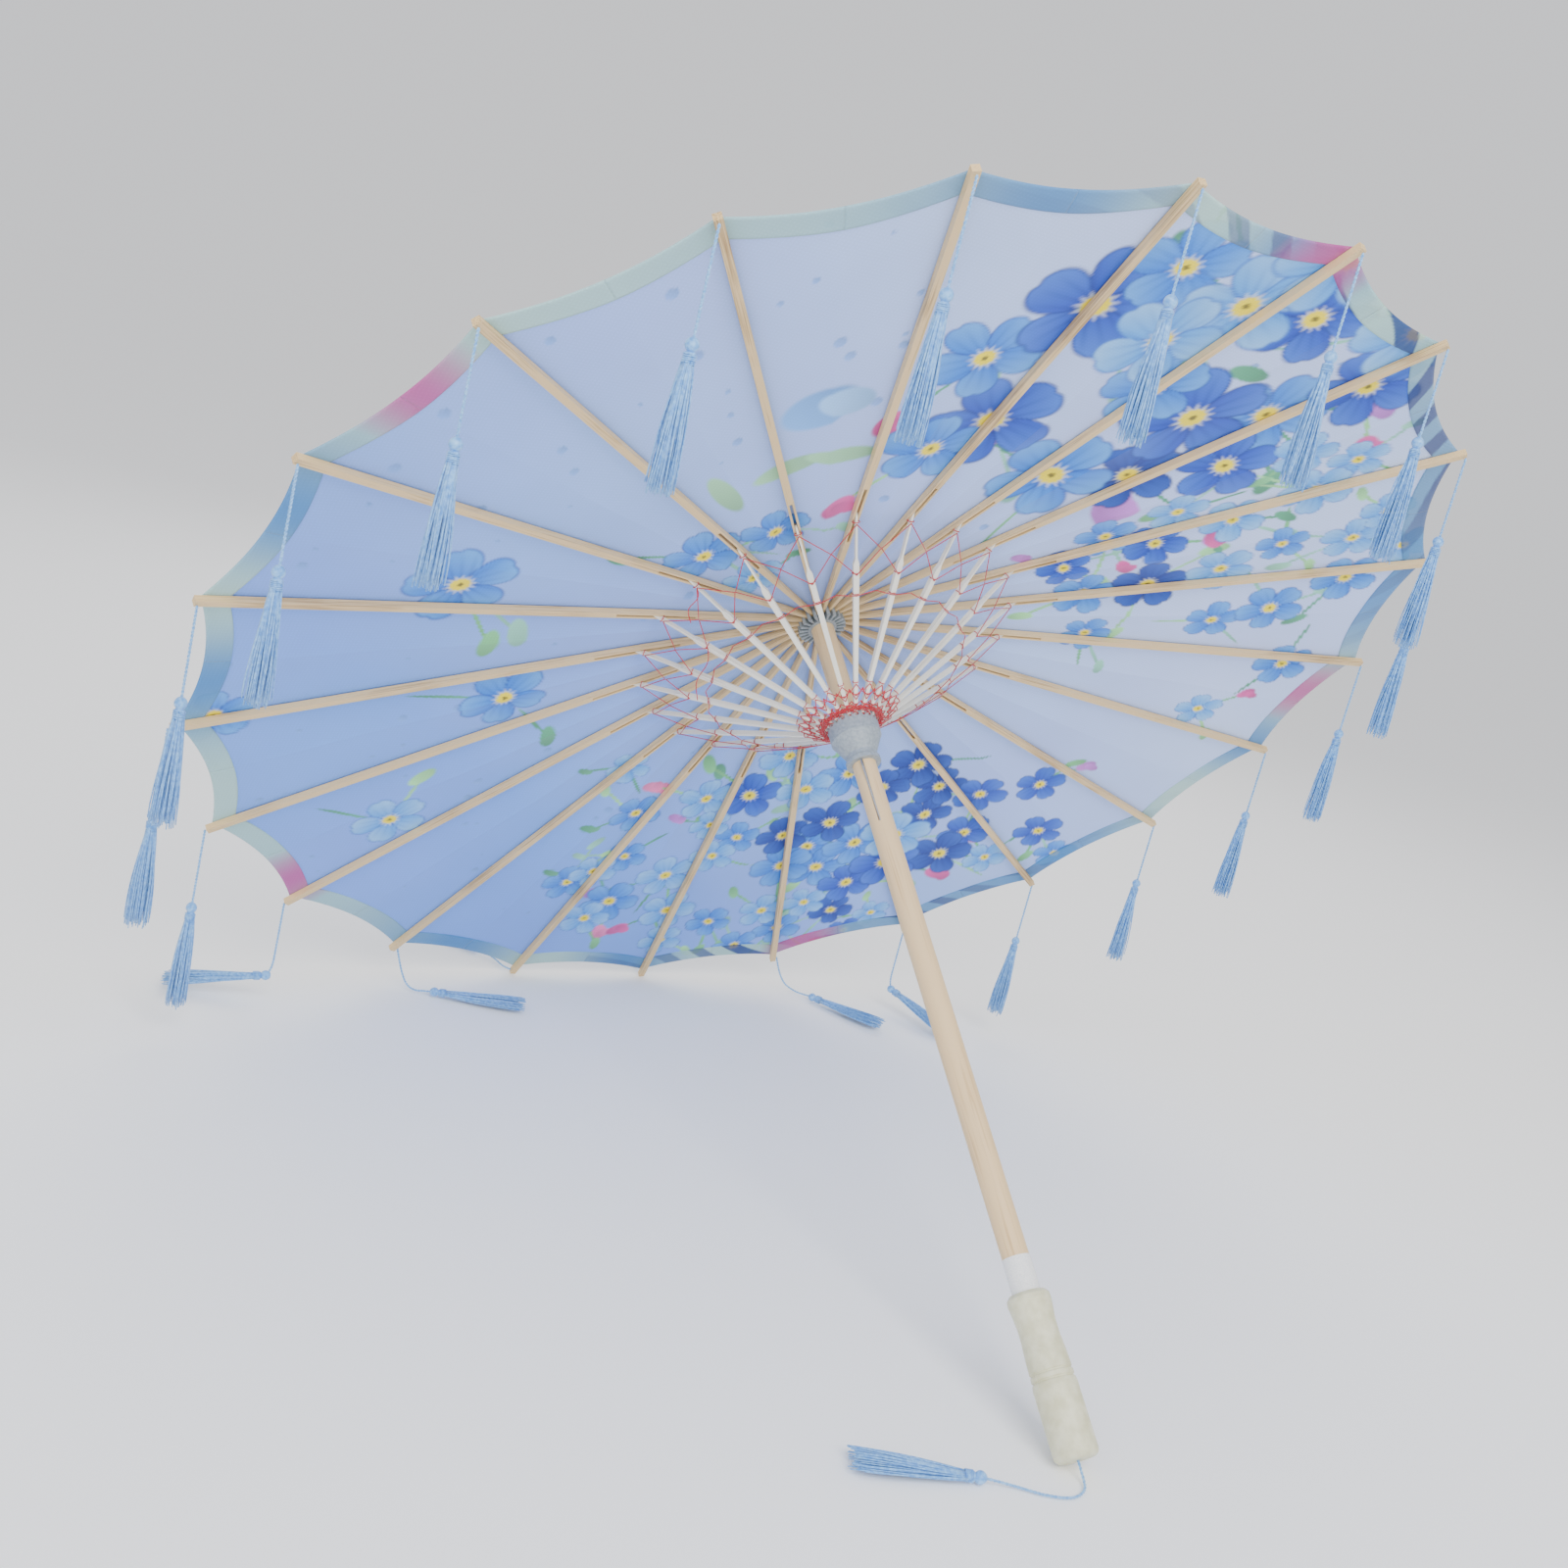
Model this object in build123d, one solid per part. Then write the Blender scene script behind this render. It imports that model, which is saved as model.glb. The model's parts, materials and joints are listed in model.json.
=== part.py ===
from build123d import *
import os
from math import asin, atan2, cos, degrees, hypot, pi, radians, sin, tan

os.makedirs("parts", exist_ok=True)

# Parasol with 22 bamboo ribs, lying open on a floor on two rib tips and the butt of its handle.
# It is drawn upright: Z runs up the shaft, and z = 0 is the plane of the rib tips.
# One placement at the end then lays it down. All sizes are in millimetres and degrees.

# ---------------------------------------------------------------- driving dimensions
RIBS = 22
TIP_RADIUS = 420.0
HINGE_RADIUS = 12.5
HUB_HINGE_Z = 58.2
RUNNER_HINGE_Z = -28.5
JOINT_ALONG_RIB = 121.6  # hub hinge to the place where the stretcher's tongue sits
CLOSED_RIB_ANGLE = 4.0  # from the shaft, when folded

RIB_HEIGHT = 4.2
RIB_TONGUE_WIDTH = 2.0
RIB_WIDTH_NEAR_HUB = 2.3
RIB_WIDTH = 4.6
RIB_SLOT = (91.0, 151.0)  # from hub hinge, start and end
RIB_SLOT_WIDTH = 1.9

STRETCHER_HEIGHT = 3.0
STRETCHER_TONGUE_WIDTH = 2.0
STRETCHER_WIDTH_INNER = 2.5
STRETCHER_WIDTH_OUTER = 3.8
BLADE_LENGTH = 29.0
BLADE_THICKNESS = 1.3

WIRE_RADIUS = 0.5
WIRE_HOLE_RADIUS = 0.62
SLOT_WIDTH = 2.3
SLOT_FLOOR_RADIUS = 10.0

SHAFT_RADIUS = 7.8
SHAFT_TOP_Z = 70.0
SHAFT_IN_HANDLE = 45.0
RUNNER_RADIUS = 16.85
RUNNER_TOP_Z = -25.3
RUNNER_HEIGHT = 33.0
RUNNER_BORE_RADIUS = 7.85
HUB_RADIUS = 16.35
HUB_TOP_Z = 64.2
HUB_HEIGHT = 13.0
CAP_RADIUS = 23.0
CAP_HEIGHT = 18.0
CATCH_SLIT_WIDTH = 1.6
CATCH_SLIT_DEPTH = 5.0
CATCH_SLIT_Z = (-104.0, -57.0)
CATCH_AZIMUTH = -48.0
CATCH_WIRE = 1.1

HANDLE_TOP_Z = -404.0
HANDLE_LENGTH = 88.0
HANDLE_RADIUS = 12.4
HANDLE_EDGE_RADIUS = 4.0
CORD_HOLE_RADIUS = 2.0
CORD_HOLE_DEPTH = 12.0
BAND_HEIGHT = 20.0
BAND_THICKNESS = 0.3

CLOTH = 1.1
CLOTH_GAP = 0.35  # above the ribs
CLOTH_RIM_RADIUS = 416.5
CLOTH_HOLE_RADIUS = 18.0
CLOTH_OVERCUT = 9.0
SCALLOP_DEPTH = 8.5
HEM_WIDTH = 16.0

THREAD_RADIUS = 0.4
THREAD_GAP = 0.4
INNER_THREAD_ALONG = 22.0  # from the runner hinge
OUTER_THREAD_ALONG = 86.0

CORD_RADIUS = 0.8
CORD_LENGTH = 50.0
BEAD_RADIUS = 3.6
TASSEL_NECK_RADIUS = 2.6
SKIRT_RADIUS = 8.0
TASSEL_LENGTH = 72.0
TIP_CLEARANCE = 0.4

# ---------------------------------------------------------------- worked out from them
PITCH = 360.0 / RIBS
RIB_LENGTH = hypot(TIP_RADIUS - HINGE_RADIUS, HUB_HINGE_Z)
RIB_SLOPE = degrees(atan2(HUB_HINGE_Z, TIP_RADIUS - HINGE_RADIUS))
OPEN_RIB_ANGLE = 90.0 - RIB_SLOPE
JOINT_RADIUS = HINGE_RADIUS + JOINT_ALONG_RIB * sin(radians(OPEN_RIB_ANGLE))
JOINT_Z = HUB_HINGE_Z - JOINT_ALONG_RIB * cos(radians(OPEN_RIB_ANGLE))
STRETCHER_LENGTH = hypot(JOINT_RADIUS - HINGE_RADIUS, JOINT_Z - RUNNER_HINGE_Z)
OPEN_STRETCHER_ANGLE = degrees(atan2(JOINT_RADIUS - HINGE_RADIUS, JOINT_Z - RUNNER_HINGE_Z))
CLOSED_STRETCHER_ANGLE = degrees(
    asin(JOINT_ALONG_RIB * sin(radians(CLOSED_RIB_ANGLE)) / STRETCHER_LENGTH)
)
CLOSED_RUNNER_HINGE_Z = (
    HUB_HINGE_Z
    - JOINT_ALONG_RIB * cos(radians(CLOSED_RIB_ANGLE))
    - STRETCHER_LENGTH * cos(radians(CLOSED_STRETCHER_ANGLE))
)
RUNNER_TRAVEL = RUNNER_HINGE_Z - CLOSED_RUNNER_HINGE_Z
HANDLE_BUTT_Z = HANDLE_TOP_Z - HANDLE_LENGTH


def rib_azimuth(number):
    """Ribs 13 and 14 stand either side of -X, where the parasol rests."""
    return 180.0 + PITCH * (number - 13.5)


def upright(radius, azimuth, z):
    """A point given by radius, azimuth and height."""
    return Vector(radius * cos(radians(azimuth)), radius * sin(radians(azimuth)), z)


# ---------------------------------------------------------------- laying it down
# The floor touches the lower corner of ribs 13 and 14 and the rounded edge of the butt.
slope = radians(RIB_SLOPE)
TIP_X = -(
    (TIP_RADIUS - RIB_HEIGHT / 2 * sin(slope)) * cos(radians(PITCH / 2))
    + RIB_WIDTH / 2 * sin(radians(PITCH / 2))
)
TIP_Z = -RIB_HEIGHT / 2 * cos(slope)
EDGE_X = -(HANDLE_RADIUS - HANDLE_EDGE_RADIUS)
EDGE_Z = HANDLE_BUTT_Z + HANDLE_EDGE_RADIUS
gap_x = TIP_X - EDGE_X
gap_z = TIP_Z - EDGE_Z
# sin(LEAN) * gap_x + cos(LEAN) * gap_z = -HANDLE_EDGE_RADIUS
turn = atan2(gap_z, gap_x)
LEAN = 180.0 - degrees(turn) - degrees(asin(-HANDLE_EDGE_RADIUS / hypot(gap_x, gap_z)))
lean = radians(LEAN)
LIFT = -(TIP_X * sin(lean) + TIP_Z * cos(lean))
# puts the origin midway between the lowest rib tips and the end of the butt
SHIFT = -59.12


def laid(point):
    """An upright point, moved to where it is when the parasol lies on the floor."""
    return Vector(
        point.X * cos(lean) - point.Z * sin(lean) + SHIFT,
        point.Y,
        point.X * sin(lean) + point.Z * cos(lean) + LIFT,
    )


LAY_DOWN = Location((SHIFT, 0, LIFT)) * Location((0, 0, 0), (0, -LEAN, 0))


# ---------------------------------------------------------------- ribs and stretchers
def slat(plan, length, height, hole_radius):
    """A strip along +X, with its hinge hole at the origin and a round inner end."""
    outline = Polyline(*plan, *[(x, -y) for x, y in reversed(plan)], close=True)
    strip = extrude(make_face(outline), height / 2, both=True)
    side = Rectangle(length, height, align=(Align.MIN, Align.CENTER)) + Circle(height / 2)
    strip = strip & extrude(Plane.XZ * side, 10, both=True)
    return strip - Cylinder(hole_radius, 20, rotation=(90, 0, 0))


def rib():
    """Rib with a long slot, through which the stretcher's blade can swing."""
    plan = [
        (-RIB_HEIGHT / 2, RIB_TONGUE_WIDTH / 2),
        (7.0, RIB_TONGUE_WIDTH / 2),
        (7.0, RIB_WIDTH_NEAR_HUB / 2),
        (JOINT_ALONG_RIB, RIB_WIDTH / 2),
        (RIB_LENGTH, RIB_WIDTH / 2),
    ]
    strip = slat(plan, RIB_LENGTH, RIB_HEIGHT, WIRE_HOLE_RADIUS)
    start, end = RIB_SLOT
    slot = Pos((start + end) / 2, 0, 0) * Box(end - start, RIB_SLOT_WIDTH, 3 * RIB_HEIGHT)
    return strip - slot


def stretcher():
    """Stretcher that thins to a blade at its outer end, so that it enters the rib's slot."""
    shoulder = STRETCHER_LENGTH - BLADE_LENGTH
    plan = [
        (-STRETCHER_HEIGHT / 2, STRETCHER_TONGUE_WIDTH / 2),
        (8.0, STRETCHER_TONGUE_WIDTH / 2),
        (8.0, STRETCHER_WIDTH_INNER / 2),
        (shoulder - 4.0, STRETCHER_WIDTH_OUTER / 2),
        (shoulder, BLADE_THICKNESS / 2),
        (STRETCHER_LENGTH + 1.0, BLADE_THICKNESS / 2),
    ]
    return slat(plan, STRETCHER_LENGTH + 1.0, STRETCHER_HEIGHT, WIRE_HOLE_RADIUS)


def around(part, azimuth, hinge_z, tilt):
    """Puts a slat on its hinge ring; tilt is how far it drops below level."""
    hinge = Location((HINGE_RADIUS, 0, hinge_z)) * Location((0, 0, 0), (0, tilt, 0))
    return Location((0, 0, 0), (0, 0, azimuth)) * hinge * part


# ---------------------------------------------------------------- hub, runner, shaft
def revolved(points):
    """A solid turned about Z from an outline of (radius, z) points."""
    outline = make_face(Polyline(*[(r, 0, z) for r, z in points], close=True))
    return revolve(outline, Axis.Z)


def slotted(body, hinge_z, bottom, top):
    """Cuts one slot for each slat, and the round channel of the hinge wire."""
    depth = RUNNER_RADIUS + 2.0 - SLOT_FLOOR_RADIUS
    cut = Pos(SLOT_FLOOR_RADIUS, 0, (bottom + top) / 2) * Box(
        depth, SLOT_WIDTH, top - bottom, align=(Align.MIN, Align.CENTER, Align.CENTER)
    )
    cuts = [Rot(0, 0, rib_azimuth(number)) * cut for number in range(1, RIBS + 1)]
    return body - cuts - Pos(0, 0, hinge_z) * Torus(HINGE_RADIUS, WIRE_RADIUS)


def top_hub():
    """Fixed ring at the top of the shaft, in which the ribs hinge."""
    bottom = HUB_TOP_Z - HUB_HEIGHT
    ceiling = HUB_HINGE_Z + RIB_HEIGHT / 2 + 0.3
    body = revolved(
        [
            (SHAFT_RADIUS, bottom),
            (HUB_RADIUS, bottom),
            (HUB_RADIUS, HUB_TOP_Z - 1.0),
            (HUB_RADIUS - 1.0, HUB_TOP_Z),
            (SHAFT_RADIUS, HUB_TOP_Z),
        ]
    )
    return slotted(body, HUB_HINGE_Z, bottom - 1.0, ceiling)


def runner():
    """Sliding ring: a slotted crown, a tapered neck and a lower flange."""
    bottom = RUNNER_TOP_Z - RUNNER_HEIGHT
    body = revolved(
        [
            (RUNNER_BORE_RADIUS, bottom),
            (11.5, bottom),
            (11.5, bottom + 3.0),
            (10.6, bottom + 4.0),
            (10.6, bottom + 7.0),
            (RUNNER_RADIUS - 0.8, bottom + 18.0),
            (RUNNER_RADIUS, bottom + 19.0),
            (RUNNER_RADIUS, RUNNER_TOP_Z - 0.8),
            (RUNNER_RADIUS - 0.8, RUNNER_TOP_Z),
            (RUNNER_BORE_RADIUS, RUNNER_TOP_Z),
        ]
    )
    floor = RUNNER_HINGE_Z - STRETCHER_HEIGHT / 2 - 0.3
    return slotted(body, RUNNER_HINGE_Z, floor, RUNNER_TOP_Z + 1.0)


def catch_frame(part):
    """Turns a part drawn in the XZ plane to the side of the shaft that has the catch."""
    return Rot(0, 0, CATCH_AZIMUTH) * part


def shaft():
    """Bamboo shaft with the slit of the catch."""
    low, high = CATCH_SLIT_Z
    bottom = HANDLE_TOP_Z - SHAFT_IN_HANDLE
    rod = Cylinder(
        SHAFT_RADIUS, SHAFT_TOP_Z - bottom, align=(Align.CENTER, Align.CENTER, Align.MIN)
    )
    slit = Box(2 * CATCH_SLIT_DEPTH, CATCH_SLIT_WIDTH, high - low)
    return Pos(0, 0, bottom) * rod - catch_frame(Pos(SHAFT_RADIUS, 0, (low + high) / 2) * slit)


def catch_spring():
    """Bent wire in the slit. Its nose stands out under the runner and holds it up."""
    low, high = CATCH_SLIT_Z
    nose_z = RUNNER_TOP_Z - RUNNER_HEIGHT - 0.3
    deep = SHAFT_RADIUS - CATCH_SLIT_DEPTH + 0.2
    outline = Polyline(
        (deep, 0, low + 0.3),
        (deep + CATCH_WIRE, 0, low + 0.3),
        (SHAFT_RADIUS + 2.2, 0, nose_z - 5.0),
        (SHAFT_RADIUS + 2.2, 0, nose_z),
        (deep, 0, nose_z),
        close=True,
    )
    inner = Polyline(
        (deep + CATCH_WIRE, 0, low + 6.0),
        (SHAFT_RADIUS + 0.8, 0, nose_z - 5.5),
        (SHAFT_RADIUS + 0.8, 0, nose_z - CATCH_WIRE),
        (deep + CATCH_WIRE, 0, nose_z - CATCH_WIRE),
        close=True,
    )
    plate = extrude(make_face(outline) - make_face(inner), CATCH_WIRE / 2, both=True)
    return catch_frame(plate)


def hinge_wire(z):
    """Closed ring of wire on which the slats turn."""
    return Pos(0, 0, z) * Torus(HINGE_RADIUS, WIRE_RADIUS)


def cloth_top_z(radius):
    """Height of the cloth's upper face over a rib."""
    rise = RIB_HEIGHT / 2 / cos(slope) + CLOTH_GAP + CLOTH
    return HUB_HINGE_Z - (radius - HINGE_RADIUS) * tan(slope) + rise


def top_cap():
    """Turned cap with a small finial, over the hub and the cloth's inner edge."""
    rest = cloth_top_z(CLOTH_HOLE_RADIUS) + 0.2
    crown = HUB_TOP_Z + CAP_HEIGHT
    return revolved(
        [
            (0, SHAFT_TOP_Z),
            (SHAFT_RADIUS, SHAFT_TOP_Z),
            (SHAFT_RADIUS, HUB_TOP_Z),
            (HUB_RADIUS + 0.3, HUB_TOP_Z),
            (HUB_RADIUS + 0.3, rest),
            (CAP_RADIUS, rest),
            (CAP_RADIUS, rest + 2.0),
            (18.0, HUB_TOP_Z + 4.5),
            (10.0, HUB_TOP_Z + 8.5),
            (5.0, HUB_TOP_Z + 11.0),
            (5.6, HUB_TOP_Z + 14.0),
            (4.6, crown - 1.5),
            (2.6, crown),
            (0, crown),
        ]
    )


# ---------------------------------------------------------------- handle
def handle():
    """Turned wooden grip: bead, neck, two grooves and a straight lower body."""
    groove_z = HANDLE_TOP_Z - HANDLE_LENGTH / 2
    profile = [
        (0, HANDLE_TOP_Z),
        (10.4, HANDLE_TOP_Z),
        (12.0, HANDLE_TOP_Z - 2.0),
        (12.3, HANDLE_TOP_Z - 4.5),
        (11.9, HANDLE_TOP_Z - 8.0),
        (11.0, HANDLE_TOP_Z - 16.0),
        (10.9, HANDLE_TOP_Z - 24.0),
        (11.6, HANDLE_TOP_Z - 34.0),
        (11.9, groove_z + 2.4),
        (11.2, groove_z + 1.8),
        (11.2, groove_z + 1.2),
        (11.9, groove_z + 0.6),
        (11.9, groove_z - 1.6),
        (11.2, groove_z - 2.2),
        (11.2, groove_z - 2.8),
        (12.0, groove_z - 3.4),
        (HANDLE_RADIUS, groove_z - 6.0),
        (HANDLE_RADIUS, HANDLE_BUTT_Z),
        (0, HANDLE_BUTT_Z),
    ]
    grip = revolved(profile)
    butt_edge = grip.edges().filter_by(GeomType.CIRCLE).sort_by(Axis.Z)[0]
    grip = fillet(butt_edge, HANDLE_EDGE_RADIUS)
    bore_bottom = HANDLE_TOP_Z - SHAFT_IN_HANDLE
    up = (Align.CENTER, Align.CENTER, Align.MIN)
    grip -= Pos(0, 0, bore_bottom) * Cylinder(SHAFT_RADIUS, SHAFT_IN_HANDLE + 5.0, align=up)
    grip -= Pos(0, 0, HANDLE_BUTT_Z) * Cylinder(CORD_HOLE_RADIUS, CORD_HOLE_DEPTH, align=up)
    return grip


def handle_band():
    """Paper band glued round the shaft just above the grip."""
    outer = SHAFT_RADIUS + BAND_THICKNESS
    return revolved(
        [
            (SHAFT_RADIUS, HANDLE_TOP_Z),
            (outer, HANDLE_TOP_Z),
            (outer, HANDLE_TOP_Z + BAND_HEIGHT),
            (SHAFT_RADIUS, HANDLE_TOP_Z + BAND_HEIGHT),
        ]
    )


# ---------------------------------------------------------------- cloth
def pyramid(radius_low, radius_high, drop):
    """Solid between two 22-sided outlines on the cloth's upper face, lowered by drop."""
    sections = []
    for radius in (radius_low, radius_high):
        corners = [
            upright(radius, rib_azimuth(number), cloth_top_z(radius) - drop)
            for number in range(1, RIBS + 1)
        ]
        sections.append(make_face(Polyline(*corners, close=True)))
    return loft(Sketch() + sections)


def cloth_band(radius_low, radius_high):
    """Closed shell of cloth between two radii, measured along the ribs."""
    thickness = CLOTH / cos(slope)
    outer = pyramid(radius_low, radius_high, 0)
    inner = pyramid(radius_low + CLOTH_OVERCUT, radius_high - CLOTH_OVERCUT, thickness)
    return outer - inner


def scallops():
    """Cutters that hollow the rim between each two rib tips."""
    chord = 2 * CLOTH_RIM_RADIUS * sin(radians(PITCH / 2))
    apothem = CLOTH_RIM_RADIUS * cos(radians(PITCH / 2))
    radius = (chord * chord / 4 + SCALLOP_DEPTH**2) / (2 * SCALLOP_DEPTH)
    cutter = Pos(apothem - SCALLOP_DEPTH + radius, 0, 0) * Cylinder(radius, 60.0)
    return [Rot(0, 0, rib_azimuth(n) + PITCH / 2) * cutter for n in range(1, RIBS + 1)]


def canopy():
    """The cloth, from the cap to the hem."""
    cloth = cloth_band(CLOTH_RIM_RADIUS - HEM_WIDTH, CLOTH_HOLE_RADIUS)
    return cloth - Pos(0, 0, HUB_TOP_Z) * Cylinder(CLOTH_HOLE_RADIUS - 0.8, 40.0)


def canopy_hem():
    """The folded border of the cloth, with its hollow edge between the tips."""
    return cloth_band(CLOTH_RIM_RADIUS, CLOTH_RIM_RADIUS - HEM_WIDTH) - scallops()


# ---------------------------------------------------------------- thread
def rod(start, end, radius):
    """A straight round rod between two points."""
    run = end - start
    plane = Plane(origin=start, z_dir=run)
    return plane * Cylinder(radius, run.length, align=(Align.CENTER, Align.CENTER, Align.MIN))


def thread_ring(along, half_width):
    """Straight lengths of thread from each stretcher to the next."""
    angle = radians(OPEN_STRETCHER_ANGLE)
    radius = HINGE_RADIUS + along * sin(angle)
    z = RUNNER_HINGE_Z + along * cos(angle)
    trim = half_width + THREAD_GAP
    lengths = []
    for number in range(1, RIBS + 1):
        start = upright(radius, rib_azimuth(number), z)
        end = upright(radius, rib_azimuth(number + 1), z)
        step = (end - start).normalized() * trim
        lengths.append(rod(start + step, end - step, THREAD_RADIUS))
    return lengths


def lacing_thread():
    """Two rings of thread that keep the stretchers evenly apart."""
    inner = thread_ring(INNER_THREAD_ALONG, STRETCHER_WIDTH_INNER / 2 + 0.3)
    outer = thread_ring(OUTER_THREAD_ALONG, STRETCHER_WIDTH_OUTER / 2 + 0.1)
    return Compound(children=inner + outer)


# ---------------------------------------------------------------- cords and tassels, laid down
def cord_tube(route):
    """Round tube of straight runs and tangent arcs, as large as the runs allow."""
    if len(route) == 2:
        return rod(route[0], route[1], CORD_RADIUS)
    radii = []
    for before, corner, after in zip(route, route[1:], route[2:]):
        first = corner - before
        second = after - corner
        shorter = min(first.length, second.length)
        radii.append(0.45 * shorter / tan(radians(first.get_angle(second) / 2)))
    print("cord arc radii", [round(radius, 1) for radius in radii])
    path = FilletPolyline(*route, radius=radii)
    start = Plane(origin=path @ 0, z_dir=path % 0)
    tube = sweep(start * Circle(CORD_RADIUS), path=path)
    print("tube volume over section times length", tube.volume / (pi * CORD_RADIUS**2 * path.length))
    return tube


def tassel(start, direction, flare):
    """Bead, neck and flared skirt along one direction."""
    outline = make_face(
        Polyline(
            (0, 0, 0),
            (2.2, 0, 0.6),
            (BEAD_RADIUS, 0, 3.6),
            (2.2, 0, 6.6),
            (TASSEL_NECK_RADIUS, 0, 9.0),
            (4.2, 0, 14.0),
            (flare, 0, TASSEL_LENGTH),
            (0, 0, TASSEL_LENGTH),
            close=True,
        )
    )
    plane = Plane(origin=start, z_dir=direction)
    return plane * revolve(outline, Axis.Z)


DOWN = Vector(0, 0, -1)
FLOOR_CORD_Z = 1.0
FLOOR_TASSEL_Z = SKIRT_RADIUS - 1.5
LYING_FLARE = SKIRT_RADIUS - 2.0


def tip_exit(number):
    """Where the cord leaves the tip of a rib: beside, past the end of, or under the tip."""
    clear = CORD_RADIUS + TIP_CLEARANCE
    azimuth = rib_azimuth(number)
    beside = under = 0.0
    if number in LYING:
        out = RIB_LENGTH - 3.0
        beside = (RIB_WIDTH / 2 + clear) * (1.0 if number == 14 else -1.0)
    elif cos(radians(azimuth)) < -0.1:
        out = RIB_LENGTH + clear
    else:
        out = RIB_LENGTH - 1.0
        under = RIB_HEIGHT / 2 + clear
    radius = HINGE_RADIUS + out * cos(slope) - under * sin(slope)
    z = HUB_HINGE_Z - out * sin(slope) - under * cos(slope)
    sideways = upright(beside, azimuth + 90.0, 0)
    return laid(upright(radius, azimuth, z) + sideways)


def floor_route(start, heading, reach, bend):
    """Route that drops from a low tip and turns along the floor."""
    ahead = Vector(cos(radians(heading)), sin(radians(heading)), 0)
    side = Vector(-ahead.Y, ahead.X, 0)
    flat = Vector(start.X, start.Y, 0)
    return [
        start,
        flat + ahead * reach * 0.2 + Vector(0, 0, start.Z * 0.35 + FLOOR_CORD_Z),
        flat + ahead * reach * 0.6 + side * bend + Vector(0, 0, FLOOR_CORD_Z + 1.2),
        flat + ahead * reach + Vector(0, 0, FLOOR_CORD_Z + 3.1),
    ]


# rib number: (heading on the floor in degrees, reach of the cord, sideways bend)
LYING = {
    12: (52.0, 36.0, 6.0),
    13: (168.0, 44.0, 5.0),
    14: (196.0, 44.0, -5.0),
    15: (40.0, 34.0, -7.0),
}
# rib number: heading of the last stretch, which the floor bends aside
LOW = {11: 20.0, 16: 250.0}
LOW_REST = 47.0
LOW_FALL = 0.2

# from the mouth of the cord hole, along the floor to the knot
HANDLE_CORD_ROUTE = [
    (6.4, 0, -5.3),
    (14, -4, -6.9),
    (18, -15, -6.9),
    (13, -29, -6.9),
    (3, -42, -6.6),
    (-4, -58, -4.0),
]


def rim_cords_and_tassels():
    """The cord and the tassel of each rib tip, hanging or lying as gravity leaves them."""
    cords = []
    tassels = []
    for number in range(1, RIBS + 1):
        start = tip_exit(number)
        if number in LYING:
            heading, reach, bend = LYING[number]
            route = floor_route(start, heading, reach, bend)
            ahead = route[-1] - route[-2]
            direction = Vector(ahead.X, ahead.Y, 0.5).normalized()
            cords.append(cord_tube(route))
            tassels.append(tassel(route[-1], direction, LYING_FLARE - 0.5))
        elif number in LOW:
            heading = radians(LOW[number])
            knot = start + DOWN * (start.Z - LOW_REST * 0.45)
            lean_out = Vector(cos(heading), sin(heading), -LOW_FALL).normalized()
            cords.append(cord_tube([start, knot]))
            tassels.append(tassel(knot, lean_out, LYING_FLARE))
        else:
            knot = start + DOWN * CORD_LENGTH
            cords.append(cord_tube([start, knot]))
            tassels.append(tassel(knot, DOWN, SKIRT_RADIUS))
    return Compound(children=cords), Compound(children=tassels)


def handle_cord_and_tassel():
    """The cord from the butt, which drops to the floor and curls round to its tassel."""
    start = laid(Vector(0, 0, HANDLE_BUTT_Z + CORD_HOLE_DEPTH / 2))
    mouth = laid(Vector(0, 0, HANDLE_BUTT_Z))
    route = [start] + [mouth + Vector(*step) for step in HANDLE_CORD_ROUTE]
    ahead = route[-1] - route[-2]
    direction = Vector(ahead.X, ahead.Y, 0.4).normalized()
    return cord_tube(route), tassel(route[-1], direction, LYING_FLARE - 0.5)


# ---------------------------------------------------------------- write every node
def write(name, part):
    """Names a part and writes its STEP file."""
    part.label = name
    export_step(part, f"parts/{name}.step")


one_rib = rib()
one_stretcher = stretcher()
for number in range(1, RIBS + 1):
    azimuth = rib_azimuth(number)
    rib_part = around(one_rib, azimuth, HUB_HINGE_Z, RIB_SLOPE)
    stretcher_part = around(one_stretcher, azimuth, RUNNER_HINGE_Z, OPEN_STRETCHER_ANGLE - 90.0)
    write(f"rib_{number:02d}", LAY_DOWN * rib_part)
    write(f"stretcher_{number:02d}", LAY_DOWN * stretcher_part)

write("shaft", LAY_DOWN * shaft())
write("top_hub", LAY_DOWN * top_hub())
write("hub_pivot_ring", LAY_DOWN * hinge_wire(HUB_HINGE_Z))
write("top_cap", LAY_DOWN * top_cap())
write("runner", LAY_DOWN * runner())
write("runner_pivot_ring", LAY_DOWN * hinge_wire(RUNNER_HINGE_Z))
write("catch_spring", LAY_DOWN * catch_spring())
write("handle", LAY_DOWN * handle())
write("handle_band", LAY_DOWN * handle_band())
write("canopy", LAY_DOWN * canopy())
write("canopy_hem", LAY_DOWN * canopy_hem())
write("lacing_thread", LAY_DOWN * lacing_thread())
rim_cords, rim_tassels = rim_cords_and_tassels()
write("rim_tassel_cords", rim_cords)
write("rim_tassels", rim_tassels)
handle_cord, handle_tassel_part = handle_cord_and_tassel()
write("handle_tassel_cord", handle_cord)
write("handle_tassel", handle_tassel_part)

print("lean", LEAN, "lift", LIFT, "runner travel", RUNNER_TRAVEL)
print("hub axis height", laid(Vector(0, 0, HUB_HINGE_Z)), "butt", laid(Vector(0, 0, HANDLE_BUTT_Z)))
print("rib angle", OPEN_RIB_ANGLE, "stretcher", OPEN_STRETCHER_ANGLE, CLOSED_STRETCHER_ANGLE)
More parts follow.
